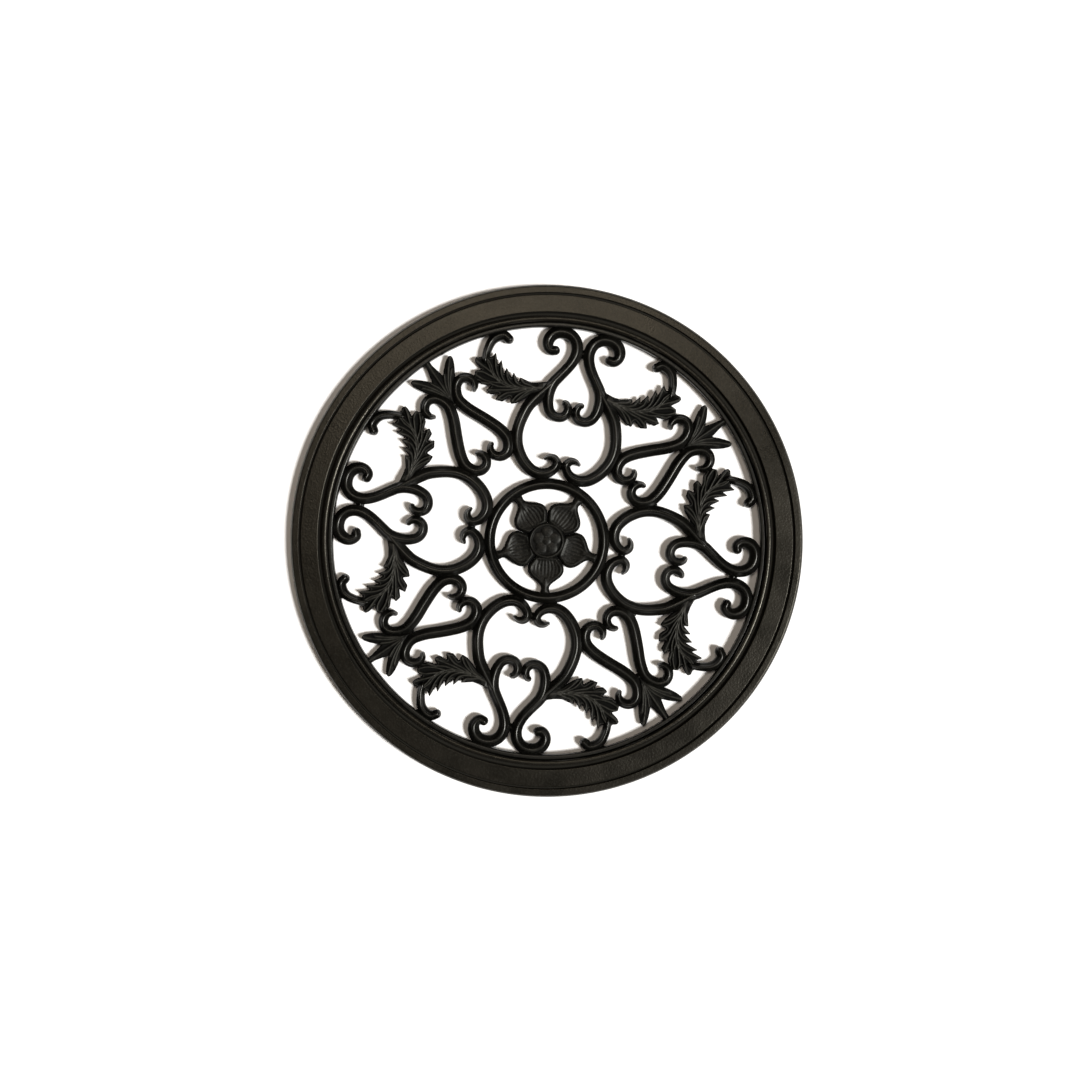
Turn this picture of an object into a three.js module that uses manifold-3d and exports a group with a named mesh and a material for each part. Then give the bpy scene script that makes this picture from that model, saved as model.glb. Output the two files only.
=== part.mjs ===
// A round ornamental drain grate in cast iron.
//
// An outer frame ring has a ledge inside it. A lift-out grate rests on the ledge: a thin hoop, a centre ring
// with a five-petal rosette, and scrollwork between the two. The scrollwork is one motif, drawn in the eighth
// of the circle between +Y and the diagonal, mirrored about +Y and turned four times about Z.
//
// Millimetres, +Z up. The origin is on the grate's axis, in the plane that the frame stands on.

import * as THREE from 'three';
import { mergeVertices } from 'three/addons/utils/BufferGeometryUtils.js';
import Module from 'manifold-3d';

const wasm = await Module();
wasm.setup();

// ---- Driving dimensions -------------------------------------------------------------------------------------

const TOUCH_GAP = 0.3; // left between two pieces that touch
const OPENING_R = 233.6; // clear opening inside the hoop

// Outer frame
const FRAME_WIDTH = 40.3; // from the bore that the hoop drops into to the outside
const BAND_H = 14.6; // top of the wide flat band
const BEAD_H = 17.2; // top of the round bead round the bore
const BEAD_W = 5.5;
const COVE_W = 4.4; // groove between the bead and the band
const COVE_DEPTH = 2.6;
const EDGE_BAND_W = 8.4; // narrow band at the outside, with its shoulder
const EDGE_GROOVE_W = 3; // groove between the two bands
const EDGE_GROOVE_DEPTH = 1.8;
const SHOULDER = 2.2; // slope at the outside edge
const LEDGE_H = 4;
const LEDGE_COVER = 0.6; // how far the hoop hides the ledge's edge
const UNDER_DEPTH = 8; // hollow on the underside
const UNDER_WALL = 7.5; // wall on both sides of the hollow
const UNDER_SLOPE = 1.6; // draft of the hollow's sides
const RIB_COUNT = 8;
const RIB_T = 5;

// Grate
const SEAT_CLEARANCE = 0.5; // all round the hoop, so that the grate lifts out
const HOOP_WALL = 5.1;
const HOOP_H = 8.4;
const BAR_W = 12.4; // widest part of an ordinary bar
const BAR_H = 10;
const BAR_SIDE_H = 4.6; // upright part of a bar's flank
const BAR_RIDGE = 0.3; // width of the flat ridge, as a share of the bar's width
const LEAF_LIFT = 1; // underside of leaves, petals and webs above the bars' underside
const LEAF_T = 7;
const WEB_T = 5;

// Rosette
const RING_OUTER_R = 68.5;
const RING_WALL = 12.1;
const BOSS_R = 20;
const BOSS_WALL = 3;
const BOSS_FLOOR_DROP = 2.6;
const PETAL_COUNT = 5;
const PETAL_TURN = -81; // degrees, from +X to the first petal
const PETAL_T = 6;

// How finely curves are stepped
const RIM_STEPS = 48;
const RING_STEPS = 40;
const BAR_TURN_STEP = 36; // degrees
const BAR_LENGTH_STEP = 22;
const END_STEPS = [36, 74]; // degrees round a bar's end

// ---- Sizes that follow --------------------------------------------------------------------------------------

const HOOP_OUTER_R = OPENING_R + HOOP_WALL;
const BORE_R = HOOP_OUTER_R + SEAT_CLEARANCE;
const FRAME_OUTER_R = BORE_R + FRAME_WIDTH;
const GRATE_Z = LEDGE_H + TOUCH_GAP;
const RING_INNER_R = RING_OUTER_R - RING_WALL;
const BIG = 4 * FRAME_OUTER_R;

// ---- The motif ----------------------------------------------------------------------------------------------
// Places are drawn for these sizes, and place() moves them in or out when a size is different.

const DRAWN = { opening: 233.6, ring: 68.5, bar: 12.4 };

// Each place on a bar is x, y and the width as a share of BAR_W.
const S_SCROLL_PLACES = [
  [30.2, 206.4, 0.8], [34.6, 205.6, 0.84], [38.6, 209.2, 0.9], [39.8, 214.8, 1], [37.4, 221.4, 1.05],
  [31.6, 226, 1.05], [23.8, 227.4, 1.05], [16, 225.6, 1.02], [9.8, 220, 1.02], [7, 212, 1], [7.4, 204, 0.97],
  [10.6, 195, 0.94], [15.4, 186.8, 0.94], [21, 178.6, 0.96], [25.8, 171, 1], [28, 163, 1], [28.2, 154.8, 0.95],
  [26.6, 146, 0.9], [22.8, 138.8, 0.87], [16.4, 135.2, 0.84], [9.4, 136, 0.82], [5.2, 140.8, 0.78],
  [4.8, 146.6, 0.72], [7.6, 151.2, 0.6], [9.2, 152, 0.52],
];
const HEART_ARM_PLACES = [
  [28, 168.6, 0.9], [33.4, 161.8, 1], [38.6, 155.2, 1.02], [43.4, 148.6, 1.04], [48, 141, 1.04],
  [51.4, 131, 1.03], [53.8, 119.6, 1.01], [54.2, 109, 1.02], [52, 98, 1.03], [47.6, 88.8, 1.04],
  [40.6, 79.9, 1.03], [31, 72.9, 1.02], [21.4, 71, 0.97], [12.6, 73.6, 0.88], [7, 79, 0.8], [5.2, 85.2, 0.76],
  [9, 90, 0.72], [14.6, 90.6, 0.54], [18.8, 88.4, 0.34],
];
const TENDRIL_PLACES = [
  [103.2, 181, 0.66], [103.6, 188, 0.7], [102.4, 196.8, 0.76], [99.8, 204, 0.8], [94.4, 209.4, 0.84],
  [87.6, 211.6, 0.84], [82.4, 208.8, 0.82],
];
// The next two are drawn beside their own diagonal: distance from it, then distance from the centre.
const DIAGONAL_ARM_PLACES = [
  [26.6, 181.6, 0.42], [29.6, 184.2, 0.6], [31.2, 190.6, 0.78], [27.6, 197, 0.84], [21.4, 199.6, 0.86],
  [14.4, 197.2, 0.88], [9, 190, 0.9], [6.9, 182, 0.94], [8, 174, 1], [11, 165, 1.03], [18.4, 149, 1.04],
  [24.6, 134, 1.04], [26.8, 126, 1.03], [27.4, 118.4, 1.02], [25.4, 112, 1], [21.2, 106.8, 0.96],
  [15.6, 104.2, 0.92], [9.4, 105.2, 0.85], [5.2, 109.8, 0.78], [4.6, 116, 0.7], [7.4, 120.6, 0.56],
  [9.2, 121.6, 0.46],
];
const PALMETTE_SIDE = [
  [0, 180], [4.6, 191], [10, 198.4], [17.6, 205.6], [20.4, 211], [23.4, 217], [26.2, 224.2], [24.6, 226.4],
  [18, 223.4], [12, 218.4], [6.8, 213.6], [5.6, 220], [3.3, 230], [3.3, 240],
];
const LEAF = [
  [32, 172], [41, 168.6], [50, 167.3], [62.7, 170], [64, 167], [70.4, 174], [72.4, 170.8], [79, 177.4],
  [82, 174], [86, 184.8], [89.4, 183], [93.4, 191.2], [98, 189.2], [107.2, 187.6], [108.8, 183.4],
  [115.2, 180], [110, 174.6], [106, 170.4], [112, 168], [112, 164.4], [104.8, 158], [103, 154.8],
  [93.4, 154], [96, 149.4], [91.2, 146], [83.6, 146], [84, 142], [76.8, 140.8], [69.4, 144], [67, 140.2],
  [60.6, 142], [54, 147.4], [47.2, 154], [39, 157],
];
// A web fills the corner where two pieces meet: from, to and width.
const LEAF_WEBS = [[[103, 163], [112.5, 157], 6]];
const S_SCROLL = {
  places: S_SCROLL_PLACES,
  webs: [[[7, 208], [-2, 208], 9], [[5, 144], [-2, 144], 6], [[25, 227], [26, 240], 14]],
};
const HEART_ARM = {
  places: HEART_ARM_PLACES,
  webs: [[[5.4, 83.6], [-2, 83.6], 8], [[20, 71], [17, 60], 12]],
};
const TENDRIL = {
  places: TENDRIL_PLACES,
  webs: [[[99, 205], [106, 219], 8]],
};
const DIAGONAL_ARM = {
  places: DIAGONAL_ARM_PLACES.map(fromDiagonal),
  webs: [[[8, 180], [-2, 180], 9], [[4.8, 113], [-2, 113], 7], [[26, 119], [36, 116], 12]]
    .map(([from, to, width]) => [fromDiagonal(from), fromDiagonal(to), width]),
};

/** A drawn place, moved so that the motif still spans from the centre ring to the hoop. */
function place(x, y) {
  const drawnIn = DRAWN.ring + DRAWN.bar / 2;
  const drawnOut = DRAWN.opening - DRAWN.bar / 2;
  const nowIn = RING_OUTER_R + BAR_W / 2;
  const nowOut = OPENING_R - BAR_W / 2;
  const r = Math.hypot(x, y);
  const moved = nowIn + ((r - drawnIn) * (nowOut - nowIn)) / (drawnOut - drawnIn);
  return new THREE.Vector2((x * moved) / r, (y * moved) / r);
}

/** A place drawn beside the diagonal, given in the motif's own axes; what follows the two numbers is kept. */
function fromDiagonal([aside, along, ...rest]) {
  return [(along - aside) * Math.SQRT1_2, (along + aside) * Math.SQRT1_2, ...rest];
}

// ---- Solids -------------------------------------------------------------------------------------------------

function solidOf(geometry) {
  const bare = geometry.clone();
  bare.deleteAttribute('normal');
  bare.deleteAttribute('uv');
  const merged = mergeVertices(bare, 1e-4);
  return new wasm.Manifold(new wasm.Mesh({
    numProp: 3,
    vertProperties: merged.attributes.position.array,
    triVerts: Uint32Array.from(merged.index.array),
  }));
}

function geometryOf(solid) {
  const mesh = solid.getMesh();
  const geometry = new THREE.BufferGeometry();
  geometry.setAttribute('position', new THREE.BufferAttribute(mesh.vertProperties, 3));
  geometry.setIndex(new THREE.BufferAttribute(mesh.triVerts, 1));
  geometry.computeVertexNormals();
  return geometry;
}

/** A ring or disc about Z from a closed profile of radius and height, listed anticlockwise. */
function turned(profile, steps) {
  const outline = [...profile, profile[0]].map(([r, z]) => new THREE.Vector2(r, z));
  const geometry = new THREE.LatheGeometry(outline, steps);
  geometry.rotateX(Math.PI / 2);
  return solidOf(geometry.rotateZ(-Math.PI / 2));
}

/** A plain ring with a square section, used to trim pieces to the hoop, the centre ring and the boss. */
function collar(inner, outer, steps) {
  return turned([[inner, -BIG], [outer, -BIG], [outer, BIG], [inner, BIG]], steps);
}

/** A flat plate with the given outline, from z up to z + thickness. */
function plate(outline, z, thickness) {
  const geometry = new THREE.ExtrudeGeometry(new THREE.Shape(outline), { depth: thickness, bevelEnabled: false });
  return solidOf(geometry.translate(0, 0, z));
}

/** Everything on one side of the line through the centre at the given angle, to the left of its direction. */
function leftOf(angle, clearance) {
  const box = new THREE.BoxGeometry(2 * BIG, BIG, BIG);
  box.translate(0, BIG / 2 + clearance, 0);
  return solidOf(box.rotateZ(angle));
}

/** The places along a bar where its section is set: closer together where it turns sharply. */
function stationsOf(curve) {
  const fine = curve.getPoints(600);
  const stations = [];
  let effort = 1;
  let heading = null;
  for (let i = 0; i < fine.length - 1; i += 1) {
    const step = new THREE.Vector2(fine[i + 1].x - fine[i].x, fine[i + 1].y - fine[i].y);
    const turn = heading === null ? 0 : Math.abs(wrap(step.angle() - heading));
    heading = step.angle();
    effort += step.length() / BAR_LENGTH_STEP + THREE.MathUtils.radToDeg(turn) / BAR_TURN_STEP;
    if (effort >= 1) {
      stations.push({ x: fine[i].x, y: fine[i].y, width: fine[i].z, heading });
      effort -= 1;
    }
  }
  const last = fine[fine.length - 1];
  if (effort < 0.5) stations.pop();
  stations.push({ x: last.x, y: last.y, width: last.z, heading });
  return stations;
}

function wrap(angle) {
  return Math.atan2(Math.sin(angle), Math.cos(angle));
}

/** Extra stations past an end, which round it off in plan. */
function roundedEnd(station, direction, grow) {
  return END_STEPS.map((degrees) => {
    const angle = THREE.MathUtils.degToRad(degrees);
    const reach = direction * (station.width / 2 + grow) * Math.sin(angle);
    return {
      x: station.x + reach * Math.cos(station.heading),
      y: station.y + reach * Math.sin(station.heading),
      width: station.width * Math.cos(angle),
      heading: station.heading,
    };
  });
}

/** A bar's section: offset from its centreline and height. */
function barSection(width, grow) {
  const half = width / 2 + grow;
  const ridge = (width * BAR_RIDGE) / 2 + grow;
  const bottom = GRATE_Z - grow;
  return [
    [half, bottom], [half, GRATE_Z + BAR_SIDE_H], [ridge, GRATE_Z + BAR_H + grow],
    [-ridge, GRATE_Z + BAR_H + grow], [-half, GRATE_Z + BAR_SIDE_H], [-half, bottom],
  ];
}

/** A ridged bar along drawn places; grow makes it fatter all round, to clear a way for it in a neighbour. */
function bar(places, grow = 0) {
  const path = places.map(([x, y, share]) => {
    const at = place(x, y);
    return new THREE.Vector3(at.x, at.y, share * BAR_W);
  });
  const middle = stationsOf(new THREE.CatmullRomCurve3(path, false, 'centripetal'));
  const before = roundedEnd(middle[0], -1, grow).reverse();
  const after = roundedEnd(middle[middle.length - 1], 1, grow);
  const stations = [...before, ...middle, ...after];
  const positions = stations.flatMap(({ x, y, width, heading }) =>
    barSection(width, grow).flatMap(([aside, z]) =>
      [x + aside * Math.sin(heading), y - aside * Math.cos(heading), z]));
  const sides = barSection(1, 0).length;
  const faces = [];
  for (let i = 0; i < stations.length - 1; i += 1) {
    for (let j = 0; j < sides; j += 1) {
      const here = i * sides + j;
      const beside = i * sides + ((j + 1) % sides);
      faces.push(here, here + sides, beside, beside, here + sides, beside + sides);
    }
  }
  const lastRow = (stations.length - 1) * sides;
  for (let j = 1; j < sides - 1; j += 1) {
    faces.push(0, j, j + 1);
    faces.push(lastRow, lastRow + j + 1, lastRow + j);
  }
  const geometry = new THREE.BufferGeometry();
  geometry.setAttribute('position', new THREE.Float32BufferAttribute(positions, 3));
  geometry.setIndex(faces);
  return solidOf(geometry);
}

/** Low webs that carry a piece across to what it touches. */
function withWebs(solid, webs, grow = 0) {
  return webs.reduce((whole, [from, to, width]) => {
    const a = place(...from);
    const b = place(...to);
    const along = b.clone().sub(a).normalize();
    const across = new THREE.Vector2(-along.y, along.x).multiplyScalar(width / 2 + grow);
    b.addScaledVector(along, grow);
    const corners = [a.clone().sub(across), b.clone().sub(across), b.clone().add(across), a.clone().add(across)];
    return whole.add(plate(corners, GRATE_Z + LEAF_LIFT - grow, WEB_T + 2 * grow));
  }, solid);
}

/** A bar with its webs, and the same made fatter, as the room that a neighbour leaves for it. */
function barWithWebs({ places, webs }) {
  return withWebs(bar(places), webs);
}

function roomFor({ places, webs }) {
  return withWebs(bar(places, TOUCH_GAP), webs, TOUCH_GAP);
}

// ---- Frame --------------------------------------------------------------------------------------------------

function outerFrame() {
  const bandIn = BORE_R + BEAD_W + COVE_W;
  const bandOut = FRAME_OUTER_R - EDGE_BAND_W - EDGE_GROOVE_W;
  const ledgeR = OPENING_R + LEDGE_COVER;
  const hollowIn = BORE_R + UNDER_WALL;
  const hollowOut = FRAME_OUTER_R - UNDER_WALL;
  const ring = turned([
    [ledgeR, 0], [hollowIn, 0], [hollowIn + UNDER_SLOPE, UNDER_DEPTH], [hollowOut - UNDER_SLOPE, UNDER_DEPTH],
    [hollowOut, 0], [FRAME_OUTER_R, 0],
    [FRAME_OUTER_R, BAND_H - 1.4 * SHOULDER], [FRAME_OUTER_R - SHOULDER, BAND_H],
    [FRAME_OUTER_R - EDGE_BAND_W, BAND_H], [FRAME_OUTER_R - EDGE_BAND_W - 0.6, BAND_H - EDGE_GROOVE_DEPTH],
    [bandOut + 0.6, BAND_H - EDGE_GROOVE_DEPTH], [bandOut, BAND_H],
    [bandIn, BAND_H], [bandIn - 1.2, BAND_H - COVE_DEPTH], [BORE_R + BEAD_W, BAND_H - COVE_DEPTH],
    [BORE_R + 0.9 * BEAD_W, BEAD_H - 1.4], [BORE_R + 0.5 * BEAD_W, BEAD_H], [BORE_R + 0.1 * BEAD_W, BEAD_H - 1.4],
    [BORE_R, BEAD_H - 4], [BORE_R, LEDGE_H], [ledgeR, LEDGE_H],
  ], RIM_STEPS);
  let frame = ring;
  for (let i = 0; i < RIB_COUNT; i += 1) {
    const rib = new THREE.BoxGeometry(hollowOut - hollowIn + 4, RIB_T, UNDER_DEPTH + 1);
    rib.translate((hollowOut + hollowIn) / 2, 0, (UNDER_DEPTH + 1) / 2);
    rib.rotateZ(((i + 0.5) / RIB_COUNT) * 2 * Math.PI);
    frame = frame.add(solidOf(rib));
  }
  return frame;
}

// ---- Grate --------------------------------------------------------------------------------------------------

function grateHoop() {
  const top = GRATE_Z + HOOP_H;
  return turned([
    [OPENING_R, GRATE_Z], [HOOP_OUTER_R, GRATE_Z], [HOOP_OUTER_R, top - 1], [HOOP_OUTER_R - 1, top],
    [OPENING_R + 1, top], [OPENING_R, top - 1],
  ], RIM_STEPS);
}

function centreRing() {
  const middle = RING_OUTER_R - RING_WALL / 2;
  const section = barSection(RING_WALL, 0).map(([aside, z]) => [middle + aside, z]);
  return turned(section, RING_STEPS);
}

function rosetteBoss() {
  const top = GRATE_Z + BAR_H;
  return turned([
    [0, GRATE_Z], [BOSS_R, GRATE_Z], [BOSS_R, top - 2.4], [BOSS_R - BOSS_WALL / 2, top],
    [BOSS_R - BOSS_WALL, top - BOSS_FLOOR_DROP], [0, top - BOSS_FLOOR_DROP],
  ], RING_STEPS);
}

/** One petal along +X: its outline is drawn from the boss (0) to the centre ring (1). */
function rosettePetal() {
  const reach = RING_INNER_R - BOSS_R;
  const at = (share, aside) => new THREE.Vector2(BOSS_R + share * reach, aside * reach);
  const edge = new THREE.CurvePath();
  edge.add(new THREE.CubicBezierCurve(at(-0.1, 0.36), at(0.08, 0.5), at(0.3, 0.56), at(0.46, 0.48)));
  edge.add(new THREE.CubicBezierCurve(at(0.46, 0.48), at(0.62, 0.38), at(0.66, 0.12), at(0.86, 0.1)));
  const upper = [...edge.getPoints(5), at(1.1, 0.09)];
  const lower = upper.map(({ x, y }) => new THREE.Vector2(x, -y)).reverse();
  const half = Math.PI / PETAL_COUNT;
  return plate([...lower, ...upper], GRATE_Z + LEAF_LIFT, PETAL_T)
    .intersect(leftOf(-half, TOUCH_GAP / 2))
    .intersect(leftOf(Math.PI + half, TOUCH_GAP / 2))
    .intersect(collar(BOSS_R + TOUCH_GAP, RING_INNER_R - TOUCH_GAP, RING_STEPS));
}

/** What the centre ring and the hoop leave free for the scrollwork. */
function scrollworkRoom() {
  return collar(RING_OUTER_R + TOUCH_GAP, OPENING_R - TOUCH_GAP, RIM_STEPS)
    .subtract(collar(1, RING_OUTER_R + TOUCH_GAP, RING_STEPS));
}

/** The pieces of one motif, each clear of the others by TOUCH_GAP. */
function motif() {
  const room = scrollworkRoom();
  const besideAxis = leftOf(-Math.PI / 2, TOUCH_GAP / 2);
  const besideDiagonal = leftOf(Math.PI / 4, TOUCH_GAP / 2);
  const leafPlate = plate(LEAF.map((at) => place(...at)), GRATE_Z + LEAF_LIFT, LEAF_T);
  return {
    s_scroll: barWithWebs(S_SCROLL).intersect(besideAxis).intersect(room),
    heart_arm: barWithWebs(HEART_ARM).subtract(roomFor(S_SCROLL)).intersect(besideAxis).intersect(room),
    diagonal_arm: barWithWebs(DIAGONAL_ARM).subtract(roomFor(HEART_ARM)).intersect(besideDiagonal).intersect(room),
    tendril: barWithWebs(TENDRIL).intersect(room),
    acanthus_leaf: withWebs(leafPlate, LEAF_WEBS)
      .subtract(roomFor(S_SCROLL))
      .subtract(roomFor(HEART_ARM))
      .subtract(roomFor(DIAGONAL_ARM))
      .subtract(roomFor(TENDRIL)),
  };
}

/** The three-leaved palmette on the diagonal between two motifs, between their two arms. */
function palmette() {
  const side = PALMETTE_SIDE.slice(1);
  const otherSide = side.map(([aside, along]) => [-aside, along]);
  const outline = [...otherSide, ...side.toReversed(), PALMETTE_SIDE[0]];
  const mirrorArm = {
    places: DIAGONAL_ARM.places.map(([x, y, share]) => [y, x, share]),
    webs: DIAGONAL_ARM.webs.map(([[ax, ay], [bx, by], width]) => [[ay, ax], [by, bx], width]),
  };
  return plate(outline.map((at) => place(...fromDiagonal(at))), GRATE_Z + LEAF_LIFT, LEAF_T)
    .subtract(roomFor(DIAGONAL_ARM))
    .subtract(roomFor(mirrorArm))
    .intersect(scrollworkRoom());
}

/** The same geometry on the other side of the Y axis. */
function mirrored(geometry) {
  const copy = geometry.clone().scale(-1, 1, 1);
  const index = copy.index.array;
  for (let i = 0; i < index.length; i += 3) {
    [index[i], index[i + 1]] = [index[i + 1], index[i]];
  }
  copy.computeVertexNormals();
  return copy;
}

// ---- Materials ----------------------------------------------------------------------------------------------

const frameIron = new THREE.MeshStandardMaterial({ color: 0x37332d, roughness: 0.55, metalness: 0.4 });
const hoopIron = new THREE.MeshStandardMaterial({ color: 0x24221e, roughness: 0.5, metalness: 0.4 });
const scrollIron = new THREE.MeshStandardMaterial({ color: 0x181814, roughness: 0.45, metalness: 0.4 });
const leafIron = new THREE.MeshStandardMaterial({ color: 0x1c1c17, roughness: 0.5, metalness: 0.4 });

// ---- Assembly -----------------------------------------------------------------------------------------------

function add(group, name, geometry, material, turn = 0) {
  const mesh = new THREE.Mesh(geometry, material);
  mesh.name = name;
  mesh.rotation.z = turn;
  group.add(mesh);
}

const group = new THREE.Group();
const grate = new THREE.Group();
group.add(grate);

add(group, 'outer_frame', geometryOf(outerFrame()), frameIron);
add(grate, 'grate_hoop', geometryOf(grateHoop()), hoopIron);
add(grate, 'centre_ring', geometryOf(centreRing()), scrollIron);
add(grate, 'rosette_boss', geometryOf(rosetteBoss()), leafIron);

const petal = geometryOf(rosettePetal());
for (let i = 0; i < PETAL_COUNT; i += 1) {
  const turn = THREE.MathUtils.degToRad(PETAL_TURN) + (i * 2 * Math.PI) / PETAL_COUNT;
  add(grate, `rosette_petal_${i + 1}`, petal, leafIron, turn);
}

const QUARTERS = 4;
const quarterTurn = (2 * Math.PI) / QUARTERS;
for (const [name, solid] of Object.entries(motif())) {
  const right = geometryOf(solid);
  const left = mirrored(right);
  const material = name === 'acanthus_leaf' ? leafIron : scrollIron;
  for (let i = 0; i < QUARTERS; i += 1) {
    add(grate, `${name}_${2 * i + 1}`, right, material, i * quarterTurn);
    add(grate, `${name}_${2 * i + 2}`, left, material, i * quarterTurn);
  }
}

const palm = geometryOf(palmette());
for (let i = 0; i < QUARTERS; i += 1) {
  add(grate, `palmette_${i + 1}`, palm, leafIron, i * quarterTurn);
}

export default group;
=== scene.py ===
"""The looks of a round ornamental drain grate in painted cast iron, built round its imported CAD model."""

import math

import bmesh
import bpy
import numpy as np
from bpy.props import FloatProperty, FloatVectorProperty, IntProperty, PointerProperty
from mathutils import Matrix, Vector
from mathutils.geometry import delaunay_2d_cdt


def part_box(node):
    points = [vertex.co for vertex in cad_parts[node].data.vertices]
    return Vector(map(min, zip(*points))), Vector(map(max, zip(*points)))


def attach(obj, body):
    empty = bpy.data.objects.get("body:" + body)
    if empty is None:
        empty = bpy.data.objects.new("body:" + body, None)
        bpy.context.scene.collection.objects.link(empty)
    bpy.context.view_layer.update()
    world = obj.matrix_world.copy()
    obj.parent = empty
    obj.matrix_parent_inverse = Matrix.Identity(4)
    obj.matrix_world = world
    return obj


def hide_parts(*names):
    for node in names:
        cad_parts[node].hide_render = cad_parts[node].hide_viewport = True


bl_info = {
    "name": "Ornamental Drain Grate",
    "version": (1, 0, 0),
    "blender": (4, 5, 0),
    "location": "3D View > Sidebar > Drain Grate",
    "description": "Casts a round scrollwork drain grate and its frame, piece by piece",
    "category": "Object",
}

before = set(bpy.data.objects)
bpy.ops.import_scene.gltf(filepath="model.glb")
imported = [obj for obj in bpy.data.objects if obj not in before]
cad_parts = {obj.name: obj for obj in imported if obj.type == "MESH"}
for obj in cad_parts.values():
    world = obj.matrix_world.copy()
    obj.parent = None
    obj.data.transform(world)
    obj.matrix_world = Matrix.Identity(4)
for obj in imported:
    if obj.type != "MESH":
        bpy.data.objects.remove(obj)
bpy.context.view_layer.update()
MM = 0.001

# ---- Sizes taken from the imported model, in metres ----------------------------

FRAME_OUTER_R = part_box("outer_frame")[1].x
BEAD_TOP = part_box("outer_frame")[1].z
HOOP_OUTER_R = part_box("grate_hoop")[1].x
HOOP_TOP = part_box("grate_hoop")[1].z
RING_OUTER_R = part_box("centre_ring")[1].x
BOSS_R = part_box("rosette_boss")[1].x
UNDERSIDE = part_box("s_scroll_1")[0].z
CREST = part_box("s_scroll_1")[1].z
LEAF_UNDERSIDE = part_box("acanthus_leaf_1")[0].z
LEAF_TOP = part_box("acanthus_leaf_1")[1].z
PETAL_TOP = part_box("rosette_petal_1")[1].z

QUARTERS = 4
PETALS = 5
FIRST_PETAL = math.radians(-81)
HOOP_WALL = 5.1 * MM
RING_WALL = 12.1 * MM

# ---- The drawn motif, in millimetres -----------------------------------------
# One eighth of the scrollwork: the heart's axis is +Y, and the diagonal is the next mirror line.

DRAWN_OPENING_R = 233.6
DRAWN_RING_R = 68.5
DRAWN_MARGIN = 6.2

# Each place on a bar is x, y and the bar's width as a share of the bar width.
S_SCROLL = [
    (30.2, 206.4, .8), (34.6, 205.6, .84), (38.6, 209.2, .9), (39.8, 214.8, 1), (37.4, 221.4, 1.05),
    (31.6, 226, 1.05), (23.8, 227.4, 1.05), (16, 225.6, 1.02), (9.8, 220, 1.02), (7, 212, 1), (7.4, 204, .97),
    (10.6, 195, .94), (15.4, 186.8, .94), (21, 178.6, .96), (25.8, 171, 1), (28, 163, 1), (28.2, 154.8, .95),
    (26.6, 146, .9), (22.8, 138.8, .87), (16.4, 135.2, .84), (9.4, 136, .82), (5.2, 140.8, .78),
    (4.8, 146.6, .72), (7.6, 151.2, .6), (9.2, 152, .52),
]
HEART_ARM = [
    (28, 168.6, .9), (33.4, 161.8, 1), (38.6, 155.2, 1.02), (43.4, 148.6, 1.04), (48, 141, 1.04),
    (51.4, 131, 1.03), (53.8, 119.6, 1.01), (54.2, 109, 1.02), (52, 98, 1.03), (47.6, 88.8, 1.04),
    (40.6, 79.9, 1.03), (31, 72.9, 1.02), (21.4, 71, .97), (12.6, 73.6, .88), (7, 79, .8), (5.2, 85.2, .76),
    (9, 90, .72), (14.6, 90.6, .54), (18.8, 88.4, .34),
]
TENDRIL = [
    (103.2, 181, .66), (103.6, 188, .7), (102.4, 196.8, .76), (99.8, 204, .8), (94.4, 209.4, .84),
    (87.6, 211.6, .84), (82.4, 208.8, .82),
]
# The diagonal arm and the palmette are drawn beside their own diagonal: aside from it, then along it.
DIAGONAL_ARM = [
    (26.6, 181.6, .42), (29.6, 184.2, .6), (31.2, 190.6, .78), (27.6, 197, .84), (21.4, 199.6, .86),
    (14.4, 197.2, .88), (9, 190, .9), (6.9, 182, .94), (8, 174, 1), (11, 165, 1.03), (18.4, 149, 1.04),
    (24.6, 134, 1.04), (26.8, 126, 1.03), (27.4, 118.4, 1.02), (25.4, 112, 1), (21.2, 106.8, .96),
    (15.6, 104.2, .92), (9.4, 105.2, .85), (5.2, 109.8, .78), (4.6, 116, .7), (7.4, 120.6, .56),
    (9.2, 121.6, .46),
]
# A web fills the corner where two pieces meet: from, to, width.
S_SCROLL_WEBS = [((7, 208), (-.6, 208), 9), ((5, 144), (-.6, 144), 6), ((25, 227), (26.4, 235), 14)]
HEART_ARM_WEBS = [((5.4, 83.6), (-.6, 83.6), 8), ((20, 71), (18, 64), 12)]
TENDRIL_WEBS = [((97, 207), (102.6, 212.4), 9)]
DIAGONAL_ARM_WEBS = [((8, 180), (-.6, 180), 9), ((4.8, 113), (-.6, 113), 7), ((26, 119), (34, 116.6), 12)]

LEAF_OUTLINE = [
    (27, 172), (33, 171), (41, 168.4), (50, 167.1), (56.4, 168.8), (62.7, 170.4), (62.8, 165), (70.6, 174.6),
    (71.6, 168), (79, 178), (80.8, 170.8), (86, 185.4), (89, 179.2), (93.6, 192), (97.2, 186), (107.2, 187.6),
    (108.8, 184), (113.8, 182.8), (115.4, 179.8), (113.2, 176.4), (105.6, 171), (112, 168.2), (112.4, 162),
    (112.5, 155.6), (107, 157), (103, 154.6), (92, 155.4), (96.8, 149.4), (91.2, 145.4), (82.4, 148.4),
    (84.8, 141.4), (76.8, 140.2), (69.6, 147), (67, 139.6), (60.6, 142), (54, 147.4), (47.2, 154), (39, 157),
    (31, 158), (26, 164),
]
LEAF_MIDRIB = [(26, 167), (36, 163.4), (47, 160.6), (59, 157.4), (70, 157), (80, 159), (88, 163), (94, 169),
               (98.4, 176), (103.4, 182.6)]
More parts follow.
